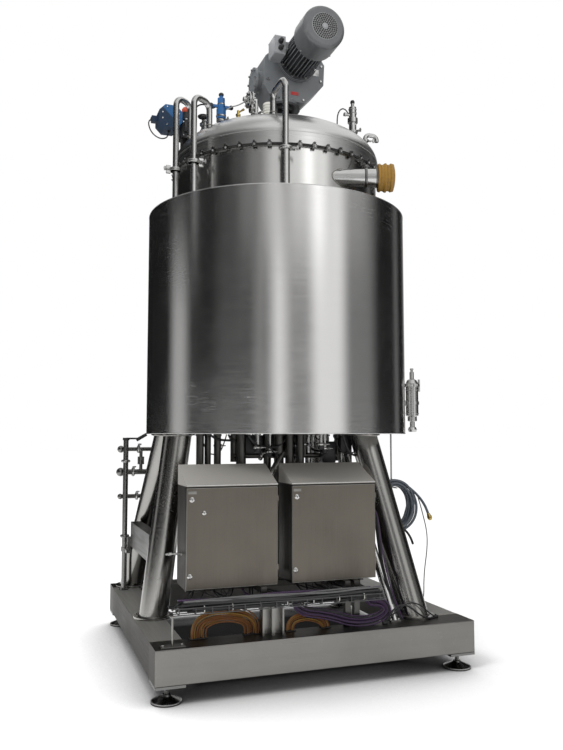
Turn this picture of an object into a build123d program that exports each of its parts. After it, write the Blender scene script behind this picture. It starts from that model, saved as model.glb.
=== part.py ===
"""Jacketed stainless steel process vessel with a top agitator, on a levelled skid.

Millimetres. The origin is on the floor below the middle of the skid. +X runs along the
front, where the two cabinets stand, +Y to the back and +Z up.
"""
import os
from math import atan2, cos, degrees, hypot, radians, sin, sqrt, tan

from build123d import *

# Skid and levelling feet
skid_length = 2068.0
skid_depth = 2024.0
skid_height = 200.0
beam_width = 196.0
beam_edge_radius = 6.0
foot_height = 110.0
foot_inset = 82.0
foot_pad_radius = 86.0
foot_pad_rim = 12.0
foot_pad_height = 38.0
foot_stem_radius = 12.0
foot_nut_width = 36.0
foot_nut_height = 18.0
foot_collar_radius = 22.0
foot_collar_flare = 6.0
foot_collar_height = 10.0
corner_plate_size = 176.0
corner_plate_thickness = 15.0
deck_z = foot_height + skid_height
half_length = skid_length / 2
half_depth = skid_depth / 2

# Vessel axis, measured from the middle of the skid
vessel_x = 36.0
vessel_y = 20.0

# Vessel shell, bottom head and lid, and the insulated jacket round them
shell_radius = 754.0
shell_wall = 8.0
insulation = 196.0
jacket_radius = shell_radius + insulation
jacket_wall = 5.0
jacket_inner = jacket_radius - jacket_wall
leg_height = 1203.0
jacket_bottom_z = deck_z + leg_height
jacket_height = 1590.0
jacket_plate = 6.0
jacket_rim_chamfer = 3.0
jacket_top_rise = 26.0
jacket_top_z = jacket_bottom_z + jacket_height
shell_stand = 317.0
shell_top_z = jacket_top_z + shell_stand
bottom_head_lift = 287.0
bottom_head_z = jacket_bottom_z + bottom_head_lift
bottom_head_depth = 220.0
outlet_radius = 60.0
outlet_neck_radius = 40.0
flange_thickness = 12.0
flange_overhang = 14.0
flange_radius = shell_radius + flange_overhang
lid_radius = flange_radius
lid_skirt = 90.0
lid_rise = 300.0
lid_wall = 8.0
lid_skirt_z = shell_top_z + flange_thickness
lid_neck_radius = 130.0
lid_pad_radius = 200.0
lid_pad_bore = 60.0
lid_pad_depth = 28.0
lid_pad_height = 8.0
clamp_count = 48
clamp_width = 30.0
clamp_height = 30.0
clamp_depth = 15.0
clamp_gap = 0.2
lid_spring_z = lid_skirt_z + lid_skirt
lid_top_z = lid_spring_z + lid_rise

# Legs: the foot as a share of the skid's half length and depth, the head as a share of the
# jacket's radius
leg_radius = 95.0
leg_disc_radius = 130.0
leg_disc_thickness = 12.0
leg_head_radius = 120.0
leg_head_thickness = 10.0
leg_overrun_share = 0.1
leg_places = {
    "leg_front_left": ((-0.8723, -0.2065), (-0.8305, -0.2463)),
    "leg_front_right": ((0.7108, -0.7559), (0.5095, -0.4947)),
    "leg_rear_left": ((-0.8511, 0.8696), (-0.7747, 0.4211)),
    "leg_rear_right": ((0.7698, 0.7204), (0.5337, 0.52)),
}

# Cross beam between the two left legs
cross_beam_height = 184.0
cross_beam_width = 80.0
cross_beam_lift = 534.0
cross_beam_top_z = deck_z + cross_beam_lift
cross_beam_proud = 36.0
cross_beam_overrun = 180.0

# Agitator drive on the lid
drive_offset = 44.0
drive_x = vessel_x + drive_offset
drive_y = vessel_y
lantern_radius = 100.0
lantern_wall = 12.0
lantern_flange_radius = 140.0
lantern_flange = 18.0
lantern_height = 186.0
lantern_window_width = 120.0
lantern_window_height = 110.0
shaft_radius = 35.0
lantern_z = lid_top_z + lid_pad_height
gear_z = lantern_z + lantern_height
gear_reach_front = 110.0
gear_front_y = drive_y - gear_reach_front
gear_depth = 250.0
gear_width = 492.0
gear_height = 404.0
gear_reach_left = 180.0
gear_left_x = drive_x - gear_reach_left
gear_base_radius = 130.0
gear_base_height = 30.0
gear_wall_radius = 22.0
gear_profile = [
    (0.122, 0.05),
    (0.683, 0.05),
    (0.984, 0.446),
    (1.0, 0.851),
    (0.915, 1.0),
    (0.163, 1.0),
    (0.02, 0.851),
    (0.0, 0.297),
]
side_cover_radius = 82.0
side_flange_radius = 100.0
side_flange = 18.0
side_cover_end = 52.0
side_cover_root = 20.0
side_cover_lift = 188.0
side_bolt_radius = 8.0
side_bolt_height = 12.0
side_bolt_circle = 84.0
side_bolt_count = 8
motor_offset = 82.0
motor_x = drive_x + motor_offset
motor_lift = 325.0
motor_z = gear_z + motor_lift
motor_length = 560.0
motor_end_y = gear_front_y - motor_length
motor_cowl_radius = 156.0
motor_cowl_length = 200.0
motor_cowl_edge = 30.0
motor_stator_radius = 118.0
motor_fin_height = 18.0
motor_fin_sink = 4.0
motor_fin_thickness = 5.0
motor_fin_count = 30
motor_bell_radius = 152.0
motor_bell_length = 46.0
grille_depth = 8.0
grille_ring_count = 5
grille_ring_pitch = 17.0
grille_hole_step = 5
grille_hole_start = 3
grille_hole_width = 9.0
terminal_box_width = 80.0
terminal_box_length = 150.0
terminal_box_height = 140.0
terminal_box_edge = 12.0
terminal_box_reach = 85.0
terminal_box_lift = 10.0
terminal_neck_length = 100.0
terminal_neck_height = 60.0
terminal_neck_lift = 20.0
terminal_gap = 0.2

# Process pipes, which stand on a ring midway over the insulation
riser_radius = 21.0
riser_sleeve_radius = 29.0
riser_bend = 70.0
side_riser_bend = 60.0
ferrule_radius = 38.0
ferrule_height = 22.0
clamp_ring_radius = 44.0
riser_ring_inset = 2.0
riser_ring_radius = (shell_radius + jacket_radius) / 2 - riser_ring_inset
riser_foot_depth = 20.0
riser_foot_z = jacket_top_z - riser_foot_depth
riser_end_depth = 30.0
front_riser_angle = -105.15
front_riser_rise = 26.0
front_riser_reach = 250.0
sleeve_height = 274.0
front_wing = (32.0, 12.0, 18.0)
side_wing = (30.0, 16.0, 56.0)
wing_gap = 12.0
side_clamp_lift = 268.0
outer_riser_angle = -164.98
outer_riser_rise = 55.0
outer_riser_reach = (118.0, 80.0)
inner_riser_angle = -150.42
inner_riser_rise = -4.0
inner_riser_reach = (130.0, 90.0)

# Cabinets: two of one size, side by side in front of the legs
cabinet_width = 580.0
cabinet_depth = 230.0
cabinet_wall = 3.0
cabinet_lift = 274.0
cabinet_bottom_z = deck_z + cabinet_lift
cabinet_door_height = 604.0
cabinet_roof_slope = 25.0
cabinet_roof_lip = 14.0
cabinet_setback = 209.0
cabinet_front_y = cabinet_setback - half_depth
cabinet_spacing = 95.0
cabinet_right_edge = 436.0
cabinet_right_x = cabinet_right_edge - cabinet_width / 2
cabinet_left_x = cabinet_right_x - cabinet_width - cabinet_spacing
door_thickness = 22.0
door_wall = 3.0
door_gap = 5.0
hinge_radius = 7.0
hinge_height = 60.0
hinge_running_gap = 0.4
hinge_clearance = 1.0
hinge_inset = 90.0
hinge_pin_gap = 0.05
housing_leaf_width = 4.0
housing_leaf_depth = 28.0
door_leaf_width = 10.0
door_leaf_depth = 18.0
door_leaf_out = 2.0
door_leaf_back = 10.0
door_margin = 2.0
door_fold = 6 * door_wall
roof_edge_proud = 2.0
roof_wall_drop = 3 * cabinet_wall
mouth_overrun = 1.0
mouth_slope = 10.0
lock_radius = 11.0
lock_height = 6.0
upper_lock_inset = 34.0
upper_lock_drop = 70.0
lower_lock_inset = 24.0
lower_lock_lift = 80.0

os.makedirs("parts", exist_ok=True)


def save(part, name):
    """Write one sub-part under its node name."""
    part.label = name
    export_step(part, f"parts/{name}.step")


def lid_height(x, y):
    """Height of the lid's outer face above the floor at one place in plan."""
    reach = hypot(x - vessel_x, y - vessel_y)
    return lid_spring_z + lid_rise * sqrt(1 - (reach / lid_radius) ** 2)


def tube(points, radius, bend):
    """A round bar along straight runs that tangent arcs join."""
    with BuildPart() as made:
        with BuildLine() as route:
            if len(points) > 2:
                FilletPolyline(*points, radius=bend)
            else:
                Line(*points)
        with BuildSketch(Plane(origin=route.line @ 0, z_dir=route.line % 0)):
            Circle(radius)
        sweep()
    return made.part


def turned(profile, plane):
    """A solid turned about the plane's normal from (radius, height) pairs."""
    with BuildPart() as made:
        with BuildSketch(Plane(origin=plane.origin, x_dir=plane.x_dir, z_dir=-plane.y_dir)):
            with BuildLine():
                Polyline(*profile, close=True)
            make_face()
        revolve(axis=Axis(plane.origin, plane.z_dir))
    return made.part


def upright(x, y, z):
    """The level plane at a place."""
    return Plane(origin=(x, y, z), x_dir=(1, 0, 0), z_dir=(0, 0, 1))


# Skid: two long beams with the side beams between them
side_beam_length = skid_depth - 2 * beam_width
for name, side in (("skid_front_beam", -1), ("skid_rear_beam", 1)):
    with BuildPart() as beam:
        with Locations((0, side * (half_depth - beam_width / 2), foot_height + skid_height / 2)):
            Box(skid_length, beam_width, skid_height)
        fillet(beam.edges().filter_by(Axis.X), beam_edge_radius)
    save(beam.part, name)
for name, side in (("skid_left_beam", -1), ("skid_right_beam", 1)):
    with BuildPart() as beam:
        with Locations((side * (half_length - beam_width / 2), 0, foot_height + skid_height / 2)):
            Box(beam_width, side_beam_length, skid_height)
        fillet(beam.edges().filter_by(Axis.Y), beam_edge_radius)
    save(beam.part, name)

# Levelling feet: a domed pad, a stem with its nut and a plate flush with the skid's corner
stem_top = foot_height - corner_plate_thickness
pad_profile = [
    (0, 0),
    (foot_pad_radius, 0),
    (foot_pad_radius, foot_pad_rim),
    (foot_collar_radius + foot_collar_flare, foot_pad_height),
    (foot_collar_radius, foot_pad_height + foot_collar_height),
    (foot_stem_radius, foot_pad_height + foot_collar_height),
    (foot_stem_radius, stem_top),
    (0, stem_top),
]
for name, side_x, side_y in (
    ("levelling_foot_front_left", -1, -1),
    ("levelling_foot_front_right", 1, -1),
    ("levelling_foot_rear_left", -1, 1),
    ("levelling_foot_rear_right", 1, 1),
):
    foot_x = side_x * (half_length - foot_inset)
    foot_y = side_y * (half_depth - foot_inset)
    plate_x = side_x * (half_length - corner_plate_size / 2)
    plate_y = side_y * (half_depth - corner_plate_size / 2)
    pad = turned(pad_profile, upright(foot_x, foot_y, 0))
    with BuildPart() as foot:
        add(pad)
        with BuildSketch(Plane.XY.offset(stem_top - foot_nut_height)):
            with Locations((foot_x, foot_y)):
                RegularPolygon(foot_nut_width / 2, 6, major_radius=False)
        extrude(amount=foot_nut_height)
        with Locations((plate_x, plate_y, foot_height - corner_plate_thickness / 2)):
            Box(corner_plate_size, corner_plate_size, corner_plate_thickness)
    save(foot.part, name)

# Legs: a splayed tube between a disc on the deck and a pad under the jacket
leg_tubes = {}
leg_bases = {}
leg_heads = {}
for name, (base_share, head_share) in leg_places.items():
    base = (base_share[0] * half_length, base_share[1] * half_depth)
    head = (vessel_x + head_share[0] * jacket_radius, vessel_y + head_share[1] * jacket_radius)
    leg_bases[name] = base
    leg_heads[name] = head
    foot_point = Vector(base[0], base[1], deck_z)
    head_point = Vector(head[0], head[1], jacket_bottom_z)
    slant = head_point - foot_point
    with BuildPart() as leg:
        with BuildSketch(Plane(origin=foot_point - slant * leg_overrun_share, z_dir=slant)):
            Circle(leg_radius)
        extrude(amount=slant.length * (1 + 2 * leg_overrun_share))
        split(bisect_by=Plane.XY.offset(deck_z + leg_disc_thickness), keep=Keep.TOP)
        split(bisect_by=Plane.XY.offset(jacket_bottom_z - leg_head_thickness), keep=Keep.BOTTOM)
        with BuildSketch(Plane.XY.offset(deck_z)):
            with Locations(base):
                Circle(leg_disc_radius)
        extrude(amount=leg_disc_thickness)
        with BuildSketch(Plane.XY.offset(jacket_bottom_z - leg_head_thickness)):
            with Locations(head):
                Circle(leg_head_radius)
        extrude(amount=leg_head_thickness)
    leg_tubes[name] = leg.part
    save(leg.part, name)

# Cross beam, coped to the two left legs
cross_beam_outer_x = leg_bases["leg_front_left"][0] - cross_beam_proud
with BuildPart() as cross_beam:
    beam_start_y = leg_bases["leg_front_left"][1]
    beam_end_y = leg_heads["leg_rear_left"][1] + cross_beam_overrun
    with Locations(
        (
            cross_beam_outer_x + cross_beam_width / 2,
            (beam_start_y + beam_end_y) / 2,
            cross_beam_top_z - cross_beam_height / 2,
        )
    ):
        Box(cross_beam_width, beam_end_y - beam_start_y, cross_beam_height)
    add(leg_tubes["leg_front_left"], mode=Mode.SUBTRACT)
    add(leg_tubes["leg_rear_left"], mode=Mode.SUBTRACT)
save(cross_beam.part, "cross_beam_left")

# Jacket: a rolled shell between a level bottom plate and a coned top plate
axis_plane = upright(vessel_x, vessel_y, 0)
with BuildPart() as jacket:
    with BuildSketch(Plane.XY.offset(jacket_bottom_z)):
        with Locations((vessel_x, vessel_y)):
            Circle(jacket_radius)
            Circle(jacket_inner, mode=Mode.SUBTRACT)
    extrude(amount=jacket_height)
    rim = jacket.edges().group_by(Axis.Z)[-1].sort_by(SortBy.LENGTH)[-1]
    chamfer(rim, jacket_rim_chamfer)
save(jacket.part, "jacket_shell")
top_outer = jacket_top_z - jacket_plate
top_plate_profile = [
    (shell_radius, top_outer + jacket_top_rise - jacket_plate),
    (jacket_inner, top_outer - jacket_plate),
    (jacket_inner, top_outer),
    (shell_radius, top_outer + jacket_top_rise),
]
save(turned(top_plate_profile, axis_plane), "jacket_top_plate")
with BuildPart() as bottom_plate:
    with BuildSketch(Plane.XY.offset(jacket_bottom_z)):
        with Locations((vessel_x, vessel_y)):
            Circle(jacket_inner)
            Circle(outlet_radius, mode=Mode.SUBTRACT)
    extrude(amount=jacket_plate)
save(bottom_plate.part, "jacket_bottom_plate")

# Vessel shell and its dished bottom with the outlet neck
with BuildPart() as shell:
    with BuildSketch(Plane.XY.offset(bottom_head_z)):
        with Locations((vessel_x, vessel_y)):
            Circle(shell_radius)
            Circle(shell_radius - shell_wall, mode=Mode.SUBTRACT)
    extrude(amount=shell_top_z - bottom_head_z)
save(shell.part, "vessel_shell")


def head_angle(neck_radius, head_radius):
    """Angle on a head's ellipse, in degrees, at the radius of its neck."""
    share = neck_radius / head_radius
    return degrees(atan2(sqrt(1 - share**2), share))


def dish(outer_radius, depth, wall, neck_radius, spring_z, upward):
    """Half section of an elliptical head, open at its neck, as a face in the XZ plane."""
    turn = 1 if upward else -1
    outer_angle = head_angle(neck_radius, outer_radius)
    inner_radius = outer_radius - wall
    inner_depth = depth - wall
    inner_angle = head_angle(neck_radius, inner_radius)
    section = Plane(origin=(vessel_x, vessel_y, spring_z), x_dir=(1, 0, 0), z_dir=(0, -turn, 0))
    with BuildSketch(section) as half:
        with BuildLine():
            outside = EllipticalCenterArc((0, 0), outer_radius, depth, start_angle=0, arc_size=outer_angle)
            inside = EllipticalCenterArc(
                (0, 0), inner_radius, inner_depth, start_angle=0, arc_size=inner_angle
            )
            Line(outside @ 0, inside @ 0)
            Line(outside @ 1, inside @ 1)
        make_face()
    return half.sketch


vessel_axis = Axis((vessel_x, vessel_y, 0), (0, 0, 1))
head_section = dish(
    shell_radius,
    bottom_head_depth,
    shell_wall,
    outlet_neck_radius,
    bottom_head_z,
    False,
)
with BuildPart() as bottom_head:
    add(head_section)
    revolve(axis=vessel_axis)
save(bottom_head.part, "vessel_bottom_head")

# Body flange under the lid and the ring of small clamps on it
with BuildPart() as body_flange:
    with BuildSketch(Plane.XY.offset(shell_top_z)):
        with Locations((vessel_x, vessel_y)):
            Circle(flange_radius)
            Circle(shell_radius - shell_wall, mode=Mode.SUBTRACT)
    extrude(amount=lid_skirt_z - shell_top_z)
save(body_flange.part, "body_flange")
with BuildPart() as lid_clamps:
    clamp_middle_z = (shell_top_z + lid_skirt_z) / 2
    with Locations((vessel_x, vessel_y, clamp_middle_z)):
        with PolarLocations(lid_radius + clamp_depth / 2 + clamp_gap, clamp_count):
            Box(clamp_depth, clamp_width, clamp_height)
save(lid_clamps.part, "lid_clamps")

# Lid: a skirt under an elliptical crown, open at the agitator's neck
lid_section = dish(lid_radius, lid_rise, lid_wall, lid_neck_radius, lid_spring_z, True)
with BuildPart() as lid:
    add(lid_section)
    revolve(axis=vessel_axis)
    with BuildSketch(Plane.XY.offset(lid_skirt_z)):
        with Locations((vessel_x, vessel_y)):
            Circle(lid_radius)
            Circle(lid_radius - lid_wall, mode=Mode.SUBTRACT)
    extrude(amount=lid_skirt)
    with BuildSketch(Plane.XY.offset(lid_top_z - lid_pad_depth)):
        with Locations((drive_x, drive_y)):
            Circle(lid_pad_radius)
            Circle(lid_pad_bore, mode=Mode.SUBTRACT)
    extrude(amount=lid_pad_depth + lid_pad_height)
save(lid.part, "lid_head")

# Plugs below the lid and the top plate, which cut the feet of what stands there
plug_radius = 60.0
plug_depth = 110.0


def lid_plug(x, y):
    """A plug under the plane that touches the lid at one place in plan."""
    z = lid_height(x, y)
    reach_term = lid_radius**2
    normal = Vector(
        (x - vessel_x) / reach_term,
        (y - vessel_y) / reach_term,
        (z - lid_spring_z) / lid_rise**2,
    )
    with BuildPart() as plug:
        with BuildSketch(Plane(origin=(x, y, z), z_dir=normal)):
            Circle(plug_radius)
        extrude(amount=-plug_depth)
    return plug.part


def plate_height(x, y):
    """Height of the jacket's coned top plate at one place in plan."""
    reach = hypot(x - vessel_x, y - vessel_y)
    return top_outer + jacket_top_rise * (jacket_inner - reach) / (jacket_inner - shell_radius)


def plate_plug(x, y):
    """A plug under the coned top plate at one place in plan."""
    reach = hypot(x - vessel_x, y - vessel_y)
    slope = jacket_top_rise / (jacket_inner - shell_radius)
    normal = Vector(slope * (x - vessel_x) / reach, slope * (y - vessel_y) / reach, 1)
    with BuildPart() as plug:
        with BuildSketch(Plane(origin=(x, y, plate_height(x, y)), z_dir=normal)):
            Circle(plug_radius)
        extrude(amount=-plug_depth)
    return plug.part


# Lantern between lid and gear unit, with the agitator shaft in its windows
with BuildPart() as lantern:
    with BuildSketch(Plane.XY.offset(lantern_z)):
        with Locations((drive_x, drive_y)):
            Circle(lantern_flange_radius)
    extrude(amount=lantern_flange)
    with BuildSketch(Plane.XY.offset(lantern_z + lantern_flange)):
        with Locations((drive_x, drive_y)):
            Circle(lantern_radius)
            Circle(lantern_radius - lantern_wall, mode=Mode.SUBTRACT)
    extrude(amount=lantern_height - 2 * lantern_flange)
    with Locations((drive_x, drive_y, lantern_z + lantern_height / 2)):
        Box(4 * lantern_radius, lantern_window_width, lantern_window_height, mode=Mode.SUBTRACT)
        Box(lantern_window_width, 4 * lantern_radius, lantern_window_height, mode=Mode.SUBTRACT)
    with BuildSketch(Plane.XY.offset(lantern_z + lantern_height - lantern_flange)):
        with Locations((drive_x, drive_y)):
            Circle(lantern_flange_radius)
            Circle(lantern_radius - lantern_wall, mode=Mode.SUBTRACT)
    extrude(amount=lantern_flange)
    with BuildSketch(Plane.XY.offset(lantern_z + lantern_flange)):
        with Locations((drive_x, drive_y)):
            Circle(shaft_radius)
    extrude(amount=lantern_height - lantern_flange)
save(lantern.part, "agitator_lantern")

# Gear unit: cast housing over a round foot flange, with a bolted cover on its left side
gear_middle_y = gear_front_y + gear_depth / 2
side_flange_x = gear_left_x - side_cover_end + side_flange
side_cover_z = gear_z + side_cover_lift
gear_outline = [
    (gear_left_x + gear_width * across, gear_z + gear_height * up) for across, up in gear_profile
]
with BuildPart() as gearbox:
    with BuildSketch(Plane.XY.offset(gear_z)):
        with Locations((drive_x, drive_y)):
            Circle(gear_base_radius)
    extrude(amount=gear_base_height)
    with BuildSketch(Plane.XZ.offset(-gear_front_y)):
        with BuildLine():
            Polyline(*gear_outline, close=True)
        casting = make_face()
        fillet(casting.vertices(), gear_wall_radius)
    extrude(amount=-gear_depth)
    with BuildSketch(Plane.YZ.offset(gear_left_x + side_cover_root)):
        with Locations((gear_middle_y, side_cover_z)):
            Circle(side_cover_radius)
    extrude(amount=side_flange_x - gear_left_x - side_cover_root)
    with BuildSketch(Plane.YZ.offset(side_flange_x)):
        with Locations((gear_middle_y, side_cover_z)):
            Circle(side_flange_radius)
    extrude(amount=-side_flange)
    with Locations(Location((side_flange_x - side_flange, gear_middle_y, side_cover_z), (0, -90, 0))):
        with PolarLocations(side_bolt_circle, side_bolt_count):
            Cylinder(side_bolt_radius, side_bolt_height, align=(Align.CENTER, Align.CENTER, Align.MIN))
save(gearbox.part, "gearbox_housing")

# Motor with its axis level, the fan cowl to the front
cowl_back_y = motor_end_y + motor_cowl_length
bell_front_y = gear_front_y - motor_bell_length
fin_circle = motor_stator_radius + (motor_fin_height - motor_fin_sink) / 2
with BuildPart() as stator:
    with BuildSketch(Plane.XZ.offset(-gear_front_y)):
        with Locations((motor_x, motor_z)):
            Circle(motor_bell_radius)
    extrude(amount=motor_bell_length)
    with BuildSketch(Plane.XZ.offset(-bell_front_y)):
        with Locations((motor_x, motor_z)):
            Circle(motor_stator_radius)
            with PolarLocations(fin_circle, motor_fin_count):
                Rectangle(motor_fin_height + motor_fin_sink, motor_fin_thickness)
    extrude(amount=bell_front_y - cowl_back_y)
save(stator.part, "motor_stator")
with BuildPart() as cowl:
    with BuildSketch(Plane.XZ.offset(-cowl_back_y)):
        with Locations((motor_x, motor_z)):
            Circle(motor_cowl_radius)
    extrude(amount=motor_cowl_length)
    fillet(cowl.edges().group_by(Axis.Y)[0], motor_cowl_edge)
    with BuildSketch(Plane.XZ.offset(-motor_end_y)):
        with Locations((motor_x, motor_z)):
            for ring in range(1, grille_ring_count + 1):
                hole_count = grille_hole_step * ring + grille_hole_start
                with PolarLocations(ring * grille_ring_pitch, hole_count):
                    Rectangle(grille_hole_width, grille_hole_width)
            Circle(grille_hole_width / 2)
    extrude(amount=-grille_depth, mode=Mode.SUBTRACT)
save(cowl.part, "motor_fan_cowl")
with BuildPart() as terminal_box:
    box_x = motor_x - motor_stator_radius - terminal_box_reach
    box_y = bell_front_y - terminal_box_length / 2 - terminal_box_edge
    with Locations((box_x, box_y, motor_z + terminal_box_lift)):
        Box(terminal_box_width, terminal_box_length, terminal_box_height)
    fillet(terminal_box.edges().filter_by(Axis.X), terminal_box_edge)
    with BuildSketch(Plane.YZ.offset(box_x)):
        with Locations((box_y, motor_z + terminal_neck_lift)):
            Rectangle(terminal_neck_length, terminal_neck_height)
    extrude(amount=terminal_box_reach + motor_fin_height)
    with Locations(Location((motor_x, box_y, motor_z), (90, 0, 0))):
        Cylinder(
            motor_stator_radius + motor_fin_height + terminal_gap,
            2 * terminal_box_length,
            mode=Mode.SUBTRACT,
        )
save(terminal_box.part, "motor_terminal_box")


def ring_place(angle):
    """The place in plan on the risers' ring, at an angle from the X axis."""
    turn = radians(angle)
    return vessel_x + riser_ring_radius * cos(turn), vessel_y + riser_ring_radius * sin(turn)


def lid_place(across, back):
    """The place in plan at two shares of the lid's radius from its middle."""
    return vessel_x + across * lid_radius, vessel_y + back * lid_radius


# Risers: pipes from the jacket's top that bend over to the lid, each with a clamped ferrule
front_riser_x, front_riser_y = ring_place(front_riser_angle)
front_end_y = front_riser_y + front_riser_reach
front_riser_top_z = lid_top_z + front_riser_rise
front_wing_x = front_riser_x + ferrule_radius + wing_gap
front_wing_z = riser_foot_z + sleeve_height + ferrule_height / 2
front_riser_tube = tube(
    [
        (front_riser_x, front_riser_y, riser_foot_z),
        (front_riser_x, front_riser_y, front_riser_top_z),
        (front_riser_x, front_end_y, front_riser_top_z),
        (front_riser_x, front_end_y, lid_height(front_riser_x, front_end_y) - riser_end_depth),
    ],
    riser_radius,
    riser_bend,
)
with BuildPart() as front_riser:
    add(front_riser_tube)
    with Locations((front_riser_x, front_riser_y, riser_foot_z)):
        Cylinder(riser_sleeve_radius, sleeve_height, align=(Align.CENTER, Align.CENTER, Align.MIN))
    with Locations((front_riser_x, front_riser_y, riser_foot_z + sleeve_height)):
        Cylinder(ferrule_radius, ferrule_height, align=(Align.CENTER, Align.CENTER, Align.MIN))
    with Locations((front_wing_x, front_riser_y, front_wing_z)):
        Box(*front_wing)
    add(plate_plug(front_riser_x, front_riser_y), mode=Mode.SUBTRACT)
    add(lid_plug(front_riser_x, front_end_y), mode=Mode.SUBTRACT)
save(front_riser.part, "vent_riser_front")


def side_riser(angle, rise, riser_reach, clamp_side):
    """A riser at the left that turns over to the lid, with a ferrule and its wing nut."""
    x, y = ring_place(angle)
    top_z = lid_top_z + rise
    end_x = x + riser_reach[0]
    end_y = y + riser_reach[1]
    clamp_z = jacket_top_z + side_clamp_lift - riser_foot_depth
    riser_tube = tube(
        [
            (x, y, riser_foot_z),
            (x, y, top_z),
            (end_x, end_y, top_z),
            (end_x, end_y, lid_height(end_x, end_y) - riser_end_depth),
        ],
        riser_radius,
        side_riser_bend,
    )
    with BuildPart() as made:
        add(riser_tube)
        with Locations((x, y, clamp_z)):
            Cylinder(clamp_ring_radius, ferrule_height)
        with Locations((x + clamp_side * (clamp_ring_radius + side_wing[0] / 4), y, clamp_z)):
            Box(*side_wing)
        add(plate_plug(x, y), mode=Mode.SUBTRACT)
        add(lid_plug(end_x, end_y), mode=Mode.SUBTRACT)
    return made.part


save(side_riser(outer_riser_angle, outer_riser_rise, outer_riser_reach, -1), "riser_left_outer")
save(side_riser(inner_riser_angle, inner_riser_rise, inner_riser_reach, 1), "riser_left_inner")

# Valve block and blue actuator at the lid's left edge
block_share = (-0.893, 0.104)
block_x, block_y = lid_place(*block_share)
block_drop = 62.0
block_z = lid_top_z - block_drop
block_neck_radius = 34.0
block_sink = 20.0
block_width = 90.0
block_depth = 110.0
block_height = 130.0
block_edge = 12.0
block_cap_radius = 28.0
block_cap_height = 80.0
actuator_width = 170.0
actuator_depth = 170.0
actuator_height = 166.0
actuator_chamfer = 44.0
actuator_lift = 71.0
connector_size = 44.0
connector_lift = 62.0
block_foot_z = lid_height(block_x, block_y) - block_sink
with BuildPart() as valve_block:
    with Locations((block_x, block_y, block_foot_z)):
        Cylinder(block_neck_radius, block_z - block_foot_z, align=(Align.CENTER, Align.CENTER, Align.MIN))
    with Locations((block_x, block_y, block_z)):
        Box(block_width, block_depth, block_height)
    fillet(valve_block.edges().filter_by(Axis.Z).group_by(SortBy.LENGTH)[-1], block_edge)
    with Locations((block_x, block_y, block_z + block_height / 2)):
        Cylinder(block_cap_radius, block_cap_height, align=(Align.CENTER, Align.CENTER, Align.MIN))
    add(lid_plug(block_x, block_y), mode=Mode.SUBTRACT)
save(valve_block.part, "valve_block_left")
with BuildPart() as actuator:
    actuator_x = block_x - (block_width + actuator_width) / 2
    with Locations((actuator_x, block_y, block_z + actuator_lift)):
        Box(actuator_width, actuator_depth, actuator_height)
    chamfer(actuator.edges().filter_by(Axis.Y), actuator_chamfer)
    connector_x = actuator_x - (actuator_width + connector_size) / 2
    with Locations((connector_x, block_y, block_z + connector_lift)):
        Box(connector_size, connector_size, connector_size)
save(actuator.part, "actuator_blue")

# Transmitter on its valve, left of the drive
gauge_share = (-0.652, -0.3125)
gauge_x, gauge_y = lid_place(*gauge_share)
gauge_foot = lid_height(gauge_x, gauge_y)
gauge_sink = 15.0
gauge_stem_radius = 22.0
gauge_stem_height = 25.0
gauge_body_radius = 34.0
gauge_body_height = 75.0
gauge_head_radius = 26.0
gauge_head_height = 78.0
gauge_knob_radius = 13.0
gauge_knob_height = 22.0
gauge_arm_length = 130.0
gauge_arm_size = 18.0
gauge_stem_length = gauge_sink + gauge_stem_height
gauge_body_z = gauge_foot + gauge_stem_height
gauge_head_z = gauge_body_z + gauge_body_height
gauge_knob_z = gauge_head_z + gauge_head_height
with BuildPart() as transmitter:
    with Locations((gauge_x, gauge_y, gauge_foot - gauge_sink)):
        Cylinder(gauge_stem_radius, gauge_stem_length, align=(Align.CENTER, Align.CENTER, Align.MIN))
    with Locations((gauge_x, gauge_y, gauge_body_z)):
        Cylinder(gauge_body_radius, gauge_body_height, align=(Align.CENTER, Align.CENTER, Align.MIN))
    with Locations((gauge_x, gauge_y, gauge_head_z)):
        Cylinder(gauge_head_radius, gauge_head_height, align=(Align.CENTER, Align.CENTER, Align.MIN))
    with Locations((gauge_x, gauge_y, gauge_knob_z)):
        Cylinder(gauge_knob_radius, gauge_knob_height, align=(Align.CENTER, Align.CENTER, Align.MIN))
    with Locations((gauge_x, gauge_y, gauge_head_z + gauge_arm_size)):
        Box(gauge_arm_length, gauge_arm_size, gauge_arm_size)
    add(lid_plug(gauge_x, gauge_y), mode=Mode.SUBTRACT)
save(transmitter.part, "transmitter_blue")

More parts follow.
